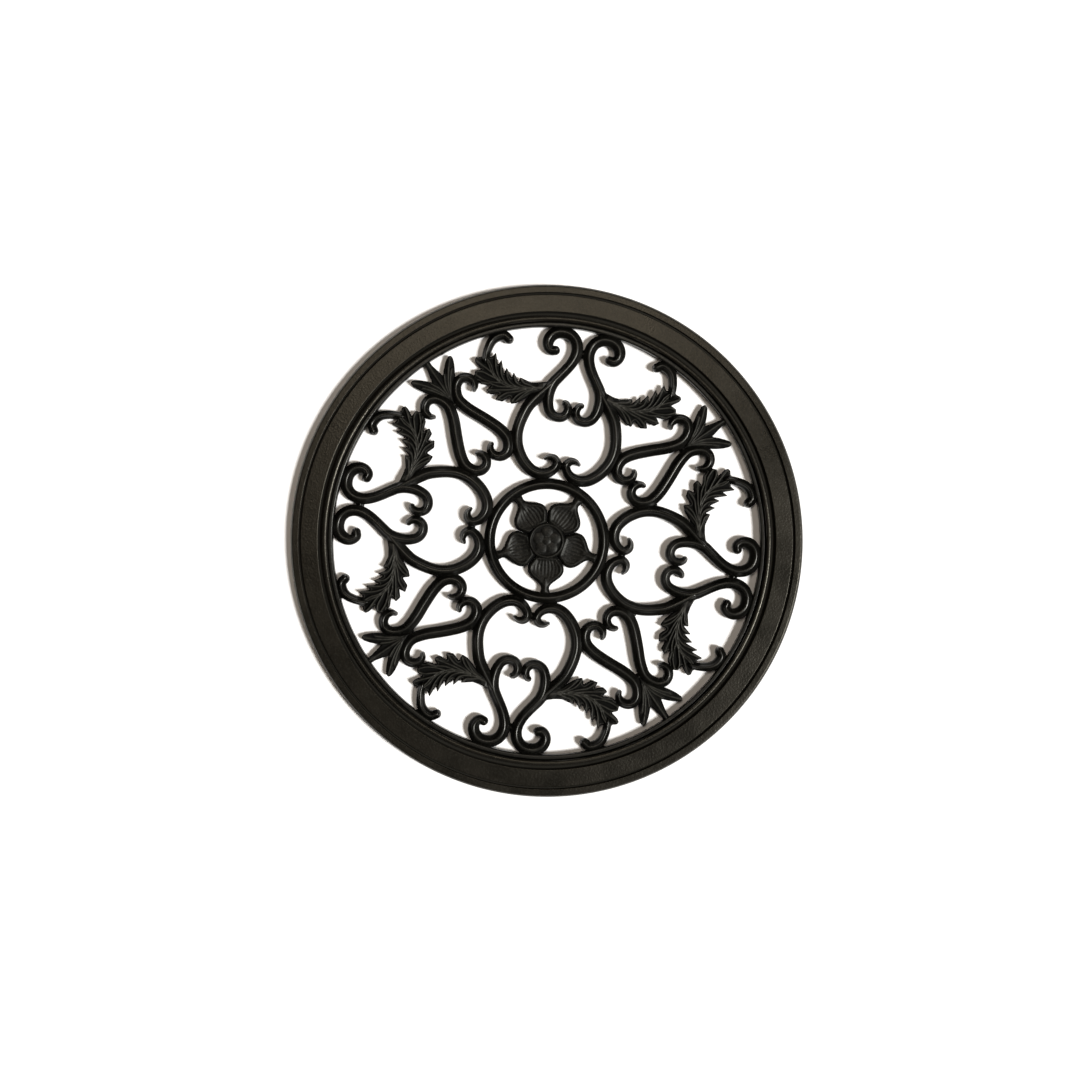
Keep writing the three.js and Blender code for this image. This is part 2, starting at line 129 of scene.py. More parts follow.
# Each lobe's ridge runs beside the midrib, then hooks outwards to the tip of a tooth.
LEAF_LOBES = [
    [(44, 161.8), (52, 163.2), (58, 164.6), (61.8, 168.4)],
    [(47, 160.6), (58, 160.8), (66, 163.8), (70, 172.8)],
    [(54, 159.2), (66, 159.4), (75, 165), (78.6, 175.8)], [(62, 158.2), (75, 160), (83, 168.6), (86, 183.2)],
    [(72, 158.4), (83, 163), (90, 174), (93.8, 190)], [(84, 161.8), (92, 169), (97, 178), (106, 186.4)],
    [(43, 160), (51, 156), (57, 150), (62, 143.4)], [(47, 159.4), (57, 154), (62.6, 149), (66.8, 141.6)],
    [(54, 157.8), (65, 153), (74, 150), (82, 143)], [(63, 156.6), (74, 153.6), (84, 151.6), (94.8, 149.8)],
    [(72, 157), (84, 155.6), (94, 156.8), (103, 156.2)], [(81, 159.8), (92, 159), (102, 160), (111, 163.6)],
    [(86, 162.6), (96, 165.6), (104, 167.8), (111, 167)],
    [(92, 167.6), (99, 171.6), (106, 175), (114, 179.6)],
]
PALMETTE_SIDE = [
    (0, 180), (4.6, 191), (10, 198.4), (17.6, 205.6), (21.2, 211), (24.6, 217), (27, 223.4), (26.4, 227.2),
    (22.4, 227.4), (17, 223.6), (12, 219), (7, 213.6), (5.6, 220), (3.5, 229), (3.4, 235.2),
]
PALMETTE_RIDGES = [
    [(0, 181), (0, 206), (0, 236)],
    [(.6, 184), (5.4, 199), (13, 211.4), (24.6, 225.2)],
    [(2.6, 190), (10.6, 203.6), (18.6, 213.4)],
    [(.8, 190), (4, 203), (8.6, 212.4)],
]

# Half of a bar's section, from the middle of its flat underside to the middle of its ridge: reach as a share
# of half the width, and rise as a share of the height.
BAR_SECTION = [
    (0, 0), (.5, 0), (.88, 0), (.97, .03), (1, .1), (1, .3), (.985, .41), (.93, .49), (.82, .57), (.66, .65),
    (.49, .74), (.345, .84), (.24, .94), (.13, .988), (0, 1),
]
END_ANGLES = (14, 28, 42, 56, 68, 78, 86)  # degrees round the ball at a bar's end

# Petal outline from the boss to the centre ring, as curve handles: shares of that reach, along and aside.
PETAL_SIDE = [(-.1, .36), (.08, .5), (.3, .61), (.46, .5), (.62, .41), (.7, .15), (.86, .12), (1.06, .15)]
PETAL_GAP = .15  # each side of the line between two petals
PETAL_VEINS = 5  # on each half
PETAL_STEM = (22, 39)  # millimetres from the boss

# How finely curved shapes are divided, and what counts as a sharp edge.
WEB_STATIONS, EASE_STEPS, ARC_STEPS, CENTRE_RING_STATIONS = 7, 6, 6, 144
MOST_EASE = .42  # of a side, cut off at each of its corners
FLAT_SUPPORT = .4  # millimetres from an arc's end to the point that keeps the flat beside it flat
# Millimetres from the edge to each ring of points on a relief.
LEAF_ROWS, PETAL_ROWS, BOSS_ROWS = (.15, .4, .8), (.12, .4, .9, 1.5, 2.2), (.15, .5, 1.0)
SHARP_FROM = math.radians(78)

# The sizes of the frame's section that the panel leaves out, in millimetres.
FRAME_WALL, DRAFT, HOLLOW_TOP = 7.5, 1.6, 8
LEDGE_SETBACK, LEDGE_GAP, SHOULDER_DROP, EDGE_FALL, EDGE_INSET = .6, .3, .1, 3, 2.2
GROOVE_SPAN = (-8.6, -9.2, -10.7, -11.4)  # from the outer edge: a lip, both ends of the floor, a lip
COVE_SPAN = (.6, 3.6, 5)  # from the bead: both ends of the floor, a lip
BEAD_ROUNDNESS = .47  # of the bead's width
RIBS = 8
RIB_OVERLAP, RIB_WIDTH, RIB_HEIGHT = 3, 5, 8.8

# Each slot's finish: its colours and how strongly its crests are worn and painted with a highlight are named
# in the panel, depth is a share of the grain depth, and the first number a share of the colour of worn,
# highlit crests.
WARM, COOL = (1, .95, .8), (1, 1, .95)  # tints of what the paint reflects
FINISHES = {
    "frame_iron": {"paint": "band_colour", "drift": "band_drift", "wear_and_highlight": "band_wear_and_highlight", "rubbed_and_highlit": 1,
                   "roughness": .31, "shine": .28, "tint": WARM, "sand": .45, "ripple": .3, "depth": 1},
    "hoop_iron": {"paint": "hoop_colour", "drift": "scroll_drift", "wear_and_highlight": "wear_and_highlight", "rubbed_and_highlit": 1,
                  "roughness": .32, "shine": .2, "tint": COOL, "sand": .55, "ripple": .4, "depth": .6},
    "scroll_iron": {"paint": "scroll_colour", "drift": "scroll_drift", "wear_and_highlight": "wear_and_highlight", "rubbed_and_highlit": 1,
                    "roughness": .3, "shine": .26, "tint": COOL, "sand": .4, "ripple": .45, "depth": .3},
    "leaf_iron": {"paint": "leaf_colour", "drift": "scroll_drift", "wear_and_highlight": "leaf_wear_and_highlight", "rubbed_and_highlit": 1.8,
                  "roughness": .41, "shine": .13, "tint": COOL, "sand": .4, "ripple": .5, "depth": .3},
}
PAINTED_SHADE_COLOUR = (.0006, .0006, .0005, 1)  # near black: painted shade in recesses and along edges
GRAIN_HEIGHT = .4 * MM
RIPPLE_SHARE = .11  # ripples for each grain along a line
DRIFTS_PER_METRE, SMEARS_PER_METRE = 24.0, 160.0

# The stage, in metres from the grate's middle: to the right and up in the view, and high.
KEY_FROM, KEY_COLOUR = (2.0, -.67, 2.8), (1, .985, .96)
FILL_FROM, FILL_COLOUR, FILL_WIDTH = (-.09, .69, 2.3), (1, .88, .75), 1.0
ROOM_COLOUR, SEEN_BRIGHTNESS = (1, .83, .67, 1), .9
FLOOR_REACH, CAMERA_REACH = 30, 50
FLOOR_LOOK = {"Base Color": (.9, .9, .9, 1), "Roughness": .9, "Specular IOR Level": .1}
SENSOR = 36  # millimetres, as lenses are given

# ---- Places and curves -------------------------------------------------------


def place(x, y):
    """A drawn place in millimetres, moved in or out so that the motif spans from centre ring to hoop."""
    now_in = RING_OUTER_R / MM + DRAWN_MARGIN
    now_out = (HOOP_OUTER_R - HOOP_WALL) / MM - DRAWN_MARGIN
    drawn_in, drawn_out = DRAWN_RING_R + DRAWN_MARGIN, DRAWN_OPENING_R - DRAWN_MARGIN
    r = math.hypot(x, y)
    moved = now_in + (r - drawn_in) * (now_out - now_in) / (drawn_out - drawn_in)
    return x * moved / r, y * moved / r


def from_diagonal(aside, along):
    """The x and y of a place drawn beside the diagonal."""
    return (along - aside) * math.sqrt(.5), (along + aside) * math.sqrt(.5)


def curve_through(places, steps=24):
    """Points on a smooth curve through the places, closer together where they are."""
    p = np.array(places, float)
    p = np.vstack([2 * p[0] - p[1], p, 2 * p[-1] - p[-2]])
    parts = []
    for i in range(1, len(p) - 2):
        a, b, c, d = p[i - 1:i + 3]
        knots = [math.sqrt(np.linalg.norm(step)) for step in (b - a, c - b, d - c)]
        t0, t1, t2, t3 = np.cumsum([0, *knots])
        t = np.linspace(t1, t2, steps, endpoint=False)[:, None]

        def mix(first, second, low, high):
            return (high - t) / (high - low) * first + (t - low) / (high - low) * second

        middle = mix(b, c, t1, t2)
        earlier = mix(mix(a, b, t0, t1), middle, t0, t2)
        later = mix(middle, mix(c, d, t2, t3), t1, t3)
        parts.append(mix(earlier, later, t1, t2))
    return np.vstack([*parts, p[-2]])


def spaced(points, step, turn):
    """The curve's points again, a step apart, or closer where it turns by more than turn in that length."""
    d = np.diff(points[:, :2], axis=0)
    heading = np.unwrap(np.arctan2(d[:, 1], d[:, 0]))
    bend = np.abs(np.diff(heading, prepend=heading[0]))
    effort = np.concatenate([[0], np.cumsum(np.hypot(d[:, 0], d[:, 1]) / step + bend / turn)])
    wanted = np.linspace(0, effort[-1], max(3, int(effort[-1])))
    return np.stack([np.interp(wanted, effort, column) for column in points.T], axis=1)


def circle(radius, count):
    """Evenly spaced points round a circle."""
    turn = np.linspace(0, 2 * math.pi, count, endpoint=False)
    return radius * np.column_stack([np.cos(turn), np.sin(turn)])


def turned_and_mirrored(xy, turn, mirror):
    """Points mirrored about the Y axis if asked, then turned about Z."""
    if mirror:
        xy = xy * (-1, 1)
    c, s = math.cos(turn), math.sin(turn)
    return xy @ np.array([[c, s], [-s, c]])


def eighths():
    """The number, the turn and the mirroring of each of a motif's eight places."""
    for quarter in range(QUARTERS):
        for mirror in (False, True):
            yield 2 * quarter + 1 + mirror, quarter * math.pi / 2, mirror


# ---- Pieces ------------------------------------------------------------------


def new_piece(name, verts, edges, faces, **marks):
    """An object with a new mesh, on which each mark is a value for every point."""
    mesh = bpy.data.meshes.new(name)
    mesh.from_pydata(verts, edges, faces)
    for label, values in marks.items():
        mesh.attributes.new(label, "FLOAT", "POINT").data.foreach_set("value", values)
    piece = bpy.data.objects.new(name, mesh)
    bpy.context.scene.collection.objects.link(piece)
    return piece


def close_up(mesh, weld=1e-7):
    """Merges doubles, drops loose points and turns the shell's faces outwards."""
    bm = bmesh.new()
    bm.from_mesh(mesh)
    bmesh.ops.remove_doubles(bm, verts=bm.verts, dist=weld)
    bmesh.ops.delete(bm, geom=[v for v in bm.verts if not v.link_faces], context="VERTS")
    bmesh.ops.recalc_face_normals(bm, faces=bm.faces)
    bm.to_mesh(mesh)
    bm.free()
    mesh.update()


def settle(piece, body, node):
    """Checks a finished piece, hangs it under the body that it moves with and hides the CAD part of its node.
    """
    if len(piece.data.polygons) == 0:
        raise RuntimeError(f"{piece.name} came out empty")
    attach(piece, body)
    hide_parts(node)


def shaped_by(piece, tree, values):
    """Puts a geometry tree on a piece, sets its named inputs and turns the result into a closed mesh."""
    modifier = piece.modifiers.new(tree.name, "NODES")
    modifier.node_group = tree
    for item in tree.interface.items_tree:
        if item.item_type == "SOCKET" and item.in_out == "INPUT" and item.name in values:
            modifier[item.identifier] = values[item.name]
    bpy.context.view_layer.update()
    shaped = piece.evaluated_get(bpy.context.evaluated_depsgraph_get())
    mesh = bpy.data.meshes.new_from_object(shaped)
    piece.modifiers.remove(modifier)
    rough, piece.data = piece.data, mesh
    bpy.data.meshes.remove(rough)
    mesh.name = piece.name
    close_up(mesh)


# ---- Node helpers ------------------------------------------------------------


class Net:
    """A node tree under construction."""

    def __init__(self, tree):
        self.tree = tree

    def feed(self, sockets, values):
        """Links or sets each of the named or numbered sockets."""
        for key, value in values.items():
            if isinstance(value, bpy.types.NodeSocket):
                self.tree.links.new(value, sockets[key])
            else:
                sockets[key].default_value = value

    def add(self, kind, inputs=None, **settings):
        """A node with its settings, then its inputs."""
        made = self.tree.nodes.new(kind)
        for key, value in settings.items():
            setattr(made, key, value)
        self.feed(made.inputs, inputs or {})
        return made

    def geo(self, kind, inputs=None, **settings):
        """The first output of a new geometry node."""
        return self.add("GeometryNode" + kind, inputs, **settings).outputs[0]

    def shade(self, kind, inputs=None, **settings):
        """The first output of a new shader or utility node."""
        return self.add("ShaderNode" + kind, inputs, **settings).outputs[0]

    def math(self, operation, a, b=0.0, clamp=False):
        return self.shade("Math", {0: a, 1: b}, operation=operation, use_clamp=clamp)

    def times(self, a, b, clamp=False):
        return self.math("MULTIPLY", a, b, clamp)

    def vector(self, operation, a, b):
        return self.shade("VectorMath", {0: a, 1: b}, operation=operation)

    def axes(self, vector):
        """The three parts of a vector."""
        return self.add("ShaderNodeSeparateXYZ", {0: vector}).outputs

    def here(self):
        """Where each point is."""
        return self.geo("InputPosition")

    def mark(self, geometry, name, value):
        """The geometry with a value stored on its points."""
        return self.geo("StoreNamedAttribute", {"Geometry": geometry, "Name": name, "Value": value},
                        data_type="FLOAT", domain="POINT")

    def ramp(self, value, low, high, to_low=0.0, to_high=1.0):
        return self.shade("MapRange", {"Value": value, "From Min": low, "From Max": high,
                                       "To Min": to_low, "To Max": to_high})

    def noise(self, place, scale, detail, **more):
        return self.shade("TexNoise", {"Vector": place, "Scale": scale, "Detail": detail, **more})

    def mixed(self, factor, a, b):
        """Colour a with as much of colour b as the factor says."""
        mix = self.add("ShaderNodeMix", data_type="RGBA", blend_type="MIX")
        self.feed(mix.inputs, {0: factor, 6: a, 7: b})
        return mix.outputs[2]


def node_group(name, kind, inputs, outputs):
    """An empty node group with these sockets: name, kind and perhaps the default, least and most."""
    tree = bpy.data.node_groups.new(name, kind)
    for way, sockets in (("INPUT", inputs), ("OUTPUT", outputs)):
        for label, socket, *limits in sockets:
            made = tree.interface.new_socket(label, in_out=way, socket_type="NodeSocket" + socket)
            for key, value in zip(("default_value", "min_value", "max_value"), limits):
                setattr(made, key, value)
    return Net(tree), tree.nodes.new("NodeGroupInput").outputs, tree.nodes.new("NodeGroupOutput").inputs


def geometry_group(name, inputs):
    """An empty geometry tree with these inputs between the geometry and the finish."""
    inputs = [("Geometry", "Geometry"), *inputs, ("Finish", "Material")]
    net, given, out = node_group(name, "GeometryNodeTree", inputs, [("Geometry", "Geometry")])
    net.tree.is_modifier = True
    return net, given, out


def finished(net, geometry, finish, out):
    """Ends a geometry tree: smooth shading, no instances, and the finish on every face."""
    geometry = net.geo("RealizeInstances", {"Geometry": net.geo("SetShadeSmooth", {"Geometry": geometry})})
    net.feed(out, {"Geometry": net.geo("SetMaterial", {"Geometry": geometry, "Material": finish})})
    return net.tree


def once(name, make):
    """A node tree or material by name, made the first time that it is asked for."""
    for store in (bpy.data.node_groups, bpy.data.materials):
        if name in store:
            return store[name]
    return make(name)


# ---- Geometry trees ----------------------------------------------------------


def ridged_bar(name):
    """Sweeps the ridged section along every line of the mesh, as wide and high as the line's points say."""
    net, given, out = geometry_group(name, [
        ("Height", "Float", .01, 0.0), ("Section Points", "Int", 28, 8),
        ("Crest From", "Float", .8, 0.0, 1.0),
    ])
    line = net.geo("MeshToCurve", {"Mesh": given["Geometry"]})
    kept = net.add("GeometryNodeCaptureAttribute")
    kept.capture_items.new("VECTOR", "Middle")
    net.feed(kept.inputs, {0: net.geo("SetCurveNormal", {"Curve": line}, mode="Z_UP"), 1: net.here()})
    line, middle = kept.outputs[0], kept.outputs[1]

    # A circle's points are moved onto the section, half of them on each side from underside to ridge.
    ring = net.geo("CurvePrimitiveCircle", {"Resolution": given["Section Points"], "Radius": 1.0})
    share = net.math("DIVIDE", net.geo("InputIndex"), given["Section Points"])
    across = net.math("SUBTRACT", net.times(share, 2.0), 1.0)
    way_up = net.math("SUBTRACT", 1.0, net.math("ABSOLUTE", across))
    side = net.math("SIGN", net.times(across, -1.0))
    reach, rise = [section_curve(net, way_up, column) for column in range(2)]
    fall = net.times(net.times(rise, given["Height"]), -1.0)
    spot = net.shade("CombineXYZ", {"X": net.times(reach, side), "Y": fall})
    section = net.geo("SetPosition", {"Geometry": ring, "Position": spot})

    swept = net.geo("CurveToMesh", {"Curve": line, "Profile Curve": section, "Fill Caps": True})
    half, rise = (net.geo("InputNamedAttribute", {"Name": mark}, data_type="FLOAT")
                  for mark in ("half_width", "rise"))
    scale = net.shade("CombineXYZ", {"X": half, "Y": half, "Z": rise})
    offset = net.vector("MULTIPLY", net.vector("SUBTRACT", net.here(), middle), scale)
    moved = net.geo("SetPosition", {"Geometry": swept, "Position": net.vector("ADD", middle, offset)})
    above = net.math("SUBTRACT", net.axes(net.here())[2], net.axes(middle)[2])
    # The crest mark: the ridge's top, where the paint is worn and a highlight is painted.
    crest = net.ramp(net.math("DIVIDE", above, given["Height"]), given["Crest From"], 1.0)
    return finished(net, net.mark(moved, "crest", crest), given["Finish"], out)


def section_curve(net, way_up, column):
    """One column of the bar's section as a curve over the way from its underside to its ridge."""
    shaped = net.add("ShaderNodeFloatCurve", {"Value": way_up})
    points = shaped.mapping.curves[0].points
    last = len(BAR_SECTION) - 1
    for k, share_of in enumerate(BAR_SECTION):
        at = (k / last, share_of[column])
        if k in (0, last):
            point = points[0 if k == 0 else -1]
            point.location = at
        else:
            point = points.new(*at)
        point.handle_type = "VECTOR"
    shaped.mapping.update()
    return shaped.outputs[0]


def turned_ring(name):
    """Turns the mesh's outline about the Z axis. The outline lies flat: radius is its X and height its Y."""
    net, given, out = geometry_group(name, [
        ("Path Radius", "Float", .1, 0.0), ("Steps", "Int", 240, 12), ("Crest From", "Float", .01),
        ("Crest To", "Float", .02), ("Recess From", "Float", 0.0), ("Recess To", "Float", 0.0),
        ("Recess Within", "Float", 0.0), ("Ribs", "Int", 0, 0), ("Rib Size", "Vector", (0, 0, 0)),
    ])
    path = net.geo("CurvePrimitiveCircle", {"Resolution": given["Steps"], "Radius": given["Path Radius"]})
    path = net.geo("SetCurveNormal", {"Curve": path}, mode="Z_UP")
    outline = net.geo("MeshToCurve", {"Mesh": given["Geometry"]})
    radius, height, _ = net.axes(net.here())
    spot = net.shade("CombineXYZ", {"X": net.math("SUBTRACT", radius, given["Path Radius"]),
                                    "Y": net.times(height, -1.0)})
    outline = net.geo("SetPosition", {"Geometry": outline, "Position": spot})
    ring = net.geo("CurveToMesh", {"Curve": path, "Profile Curve": outline})
    ring = net.geo("MergeByDistance", {"Geometry": ring, "Distance": 1e-6})

    # Ribs stand in the hollow underneath, evenly round the ring.
    places = net.geo("MeshCircle", {"Vertices": net.math("MAXIMUM", given["Ribs"], 3),
                                    "Radius": given["Path Radius"]})
    outwards = net.add("FunctionNodeAlignRotationToVector", {"Vector": net.here()}, axis="X").outputs[0]
    rib = net.geo("MeshCube", {"Size": given["Rib Size"]})
    half_up = net.vector("MULTIPLY", given["Rib Size"], (0, 0, .5))
    rib = net.geo("Transform", {"Geometry": rib, "Translation": half_up})
    any_ribs = net.add("FunctionNodeCompare", {2: given["Ribs"], 3: 0}, data_type="INT",
                       operation="GREATER_THAN").outputs[0]
    ribs = net.geo("InstanceOnPoints", {"Points": places, "Instance": rib, "Rotation": outwards,
                                        "Selection": any_ribs})
    half_pitch = net.math("DIVIDE", math.pi, net.math("MAXIMUM", given["Ribs"], 1))
    ribs = net.geo("Transform", {"Geometry": ribs, "Rotation": net.shade("CombineXYZ", {"Z": half_pitch})})
    whole = net.add("GeometryNodeJoinGeometry")
    for part in (ring, net.geo("RealizeInstances", {"Geometry": ribs})):
        net.feed(whole.inputs, {0: part})

    height = net.axes(net.here())[2]
    # The crest mark: between the given heights the paint is worn and a highlight is painted.
    marked = net.mark(whole.outputs[0], "crest", net.ramp(height, given["Crest From"], given["Crest To"]))
    # Painted shade: points below the given heights and within the given radius are marked to be painted dark.
    flat = net.vector("MULTIPLY", net.here(), (1, 1, 0))
    reach = net.add("ShaderNodeVectorMath", {0: flat}, operation="LENGTH").outputs["Value"]
    recess = net.times(net.ramp(height, given["Recess From"], given["Recess To"]),
                       net.math("LESS_THAN", reach, given["Recess Within"]))
    return finished(net, net.mark(marked, "recess", recess), given["Finish"], out)


# ---- Finishes ----------------------------------------------------------------


def cast_grain(name):
    """The fine sand-cast grain under the paint: a height for bump, and where its grains stand proud."""
    net, given, out = node_group(name, "ShaderNodeTree", [
        ("Place", "Vector"), ("Grains per Metre", "Float", 900.0), ("Sand", "Float", .6, 0.0, 1.0),
        ("Ripple", "Float", .35, 0.0, 1.0),
    ], [("Height", "Float"), ("Speckle", "Float")])
    spot, grains = given["Place"], given["Grains per Metre"]
    fine = net.noise(spot, grains, 3.0, Roughness=.6)
    cells = net.shade("TexVoronoi", {"Vector": spot, "Scale": grains}, feature="SMOOTH_F1")
    ripple = net.noise(spot, net.times(grains, RIPPLE_SHARE), 2.0)
    sand = net.times(net.math("ADD", fine, cells), given["Sand"])
    net.feed(out, {"Height": net.math("ADD", sand, net.times(ripple, given["Ripple"])),
                   "Speckle": net.ramp(fine, .52, .7)})
    return net.tree


def worn_paint_and_painted_light(name):
    """Satin paint over iron, with warm drifts, worn crests that also carry a painted highlight, and painted
    shade
    in recesses and along edges: its colour and roughness.
    """
    net, given, out = node_group(name, "ShaderNodeTree", [
        ("Place", "Vector"), ("Paint", "Color", (.01, .01, .009, 1)),
        ("Drift", "Color", (.016, .014, .011, 1)), ("Crest Colour", "Color", (.03, .029, .026, 1)),
        ("Crest", "Float", 0.0), ("Wear", "Float", .5, 0.0, 1.0), ("Speckle", "Float", 0.0),
        ("Recess", "Float", 0.0), ("Roughness", "Float", .45, 0.0, 1.0),
    ], [("Color", "Color"), ("Roughness", "Float")])
    cloud = net.noise(given["Place"], DRIFTS_PER_METRE, 4.0)
    smears = net.ramp(net.noise(given["Place"], SMEARS_PER_METRE, 3.0), .35, .7, .45)
    # Worn paint on the crests, which is also a painted highlight there.
    rubbed_and_highlit = net.times(net.times(given["Crest"], smears), given["Wear"], clamp=True)
    colour = net.mixed(net.ramp(cloud, .38, .66), given["Paint"], given["Drift"])
    colour = net.mixed(rubbed_and_highlit, colour, given["Crest Colour"])
    colour = net.mixed(net.times(given["Speckle"], .35), colour, given["Crest Colour"])
    # Painted shade: recesses and edges are mixed towards near black.
    colour = net.mixed(net.times(given["Recess"], .9, clamp=True), colour, PAINTED_SHADE_COLOUR)
    rough = net.math("ADD", given["Roughness"], net.ramp(cloud, .3, .7, -.05, .06))
    rough = net.math("SUBTRACT", rough, net.times(rubbed_and_highlit, .1))
    rough = net.math("ADD", rough, net.times(given["Recess"], .5), clamp=True)
    net.feed(out, {"Color": colour, "Roughness": rough})
    return net.tree


def finish_for(slot):
    """The material of a slot: painted cast iron in the finish that the panel gives."""
    look, panel = FINISHES[slot], bpy.context.scene.drain_grate_finish

    def iron(name):
        material = bpy.data.materials.new(name)
        material.use_nodes = True
        net = Net(material.node_tree)
        spot = net.add("ShaderNodeTexCoord").outputs["Object"]
        # The crest mark carries worn paint and a painted highlight, the other mark painted shade.
        crest, recess = (net.add("ShaderNodeAttribute", attribute_name=mark,
                                 attribute_type="GEOMETRY").outputs["Fac"] for mark in ("crest", "recess"))
        grain = net.add("ShaderNodeGroup", {
            "Place": spot, "Grains per Metre": panel.grains_per_metre, "Sand": look["sand"],
            "Ripple": look["ripple"]}, node_tree=once("Cast Grain", cast_grain)).outputs
        paint = net.add("ShaderNodeGroup", {
            "Place": spot, "Paint": (*getattr(panel, look["paint"]), 1),
            "Drift": (*getattr(panel, look["drift"]), 1),
            "Crest Colour": (*(look["rubbed_and_highlit"] * part for part in panel.rubbed_and_highlight_colour), 1),
            "Crest": crest, "Wear": getattr(panel, look["wear_and_highlight"]), "Speckle": grain["Speckle"],
            "Recess": recess, "Roughness": look["roughness"]},
            node_tree=once("Worn Paint", worn_paint_and_painted_light)).outputs
        relief = net.shade("Bump", {"Height": grain["Height"], "Strength": look["depth"] * panel.grain_depth,
                                    "Distance": GRAIN_HEIGHT})
        net.feed(net.tree.nodes["Principled BSDF"].inputs, {
            "Base Color": paint["Color"], "Roughness": paint["Roughness"], "Normal": relief, "Metallic": 0.0,
            "Specular IOR Level": look["shine"], "Specular Tint": (*look["tint"], 1)})
        return material

    return once(slot.replace("_", " ").title(), iron)


# ---- Bars --------------------------------------------------------------------


def rounded_ends(line, end_drop):
    """Adds the stations that round a bar off at both ends; each is x, y, half width and rise."""
    def stations(end, before):
        along = end[:2] - before[:2]
        along = along / np.linalg.norm(along)
        for degrees in END_ANGLES:
            angle = math.radians(degrees)
            spot = end[:2] + along * end[2] * math.sin(angle)
            yield [*spot, end[2] * math.cos(angle), end[3] * (1 - end_drop + end_drop * math.cos(angle))]
    return np.array([*reversed(list(stations(line[0], line[1]))), *line, *stations(line[-1], line[-2])])


def bar_lines(places, webs):
    """The lines that a bar and its webs follow, in millimetres, with half widths and rises."""
    sizes = bpy.context.scene.drain_grate_bars
    width = sizes.bar_width / MM
    path = curve_through([(*place(x, y), share * width / 2) for x, y, share in places])
    path = spaced(path, sizes.station_length / MM, sizes.station_turn)
    lines = [rounded_ends(np.column_stack([path, np.ones(len(path))]), sizes.end_drop)]
    t = np.linspace(0, 1, WEB_STATIONS)[:, None]
    for start, end, wide in webs:
        spots = (1 - t) * np.array(place(*start)) + t * np.array(place(*end))
        lines.append(np.column_stack([spots, np.full(len(t), wide / 2), np.full(len(t), sizes.web_rise)]))
    return lines


def sweep(node, lines, turn=0, mirror=False, closed=False):
    """A piece swept by the ridged bar tree along the given lines."""
    verts, edges = [], []
    for line in lines:
        first = len(verts)
        verts += [(x * MM, y * MM, UNDERSIDE) for x, y in turned_and_mirrored(line[:, :2], turn, mirror)]
        edges += [(first + i, first + i + 1) for i in range(len(line) - 1)]
        if closed:
            edges.append((len(verts) - 1, first))
    half, rise = np.vstack(lines)[:, 2:].T
    piece = new_piece(f"cast_{node}", verts, edges, [], half_width=half * MM, rise=rise)
    shaped_by(piece, once("Ridged Bar", ridged_bar), {
        "Height": CREST - UNDERSIDE, "Section Points": 2 * (len(BAR_SECTION) - 1),
        "Crest From": bpy.context.scene.drain_grate_bars.crest_from, "Finish": finish_for("scroll_iron")})
    settle(piece, "grate", node)


def make_bars(kind, places, webs):
    """All eight bars of one kind, each under its own name."""
    lines = bar_lines(places, webs)
    for number, turn, mirror in eighths():
        sweep(f"{kind}_{number}", lines, turn, mirror)


# ---- Relief castings ---------------------------------------------------------


def near(distance, width, power=2):
    """1 at no distance, and next to nothing beyond twice the width."""
    return np.exp(-(distance / width) ** power)


def ramp(value, start, over):
    """0 up to the start, then evenly up to 1."""
    return np.clip((value - start) / over, 0, 1)


def half_ball(distance, radius):
    """How high a half ball stands at some distance from its middle, as a share of its radius."""
    return np.sqrt(np.clip(1 - (distance / radius) ** 2, 0, 1))


def rounded_edge(from_edge, radius, wall):
    """How much of its full height a casting has at some distance from its edge: wall at the very edge."""
    return wall + (1 - wall) * np.sqrt(1 - (1 - ramp(from_edge, 0, radius)) ** 2)


def eased_outline(corners, ease, step):
    """A closed outline with each corner rounded off, and points every step along it."""
    corners = np.array(corners, float)
    t = np.linspace(0, 1, EASE_STEPS)[:, None]
    points = []
    for i, corner in enumerate(corners):
        before, after = corners[i - 1] - corner, corners[(i + 1) % len(corners)] - corner
        start, end = (corner + side * min(ease / np.linalg.norm(side), MOST_EASE) for side in (before, after))
        points.extend((1 - t) ** 2 * start + 2 * t * (1 - t) * corner + t ** 2 * end)
    loop = np.array([*points, points[0]])
    run = np.concatenate([[0], np.cumsum(np.linalg.norm(np.diff(loop, axis=0), axis=1))])
    wanted = np.linspace(0, run[-1], max(12, round(run[-1] / step)), endpoint=False)
    return np.stack([np.interp(wanted, run, column) for column in loop.T], axis=1)


def distance_to(points, line):
    """Each point's distance to a line of points."""
    best = np.full(len(points), np.inf)
    for start, along in zip(line[:-1], np.diff(line, axis=0)):
        t = np.clip(((points - start) @ along) / max(along @ along, 1e-12), 0, 1)
        best = np.minimum(best, np.linalg.norm(points - start - t[:, None] * along, axis=1))
    return best


def nearest_of(points, lines):
    """Each point's distance to the nearest of some lines."""
    return np.min([distance_to(points, line) for line in lines], axis=0)


def inside(points, loop):
    """Which points lie inside a closed outline."""
    x, y = points[:, 0], points[:, 1]
    found = np.zeros(len(points), bool)
    for (x1, y1), (x2, y2) in zip(loop, np.roll(loop, -1, axis=0)):
        if y1 != y2:
            found ^= ((y1 > y) != (y2 > y)) & (x < (x2 - x1) * (y - y1) / (y2 - y1) + x1)
    return found


def triangles_over(points, rim):
    """Triangles over the points, within the outline that the first few of them make."""
    placed = delaunay_2d_cdt([Vector(p) for p in points], [], [list(range(rim))], 1, 1e-5)
    origin = [ids[0] if ids else None for ids in placed[3]]
    return [[origin[i] for i in face] for face in placed[2]]


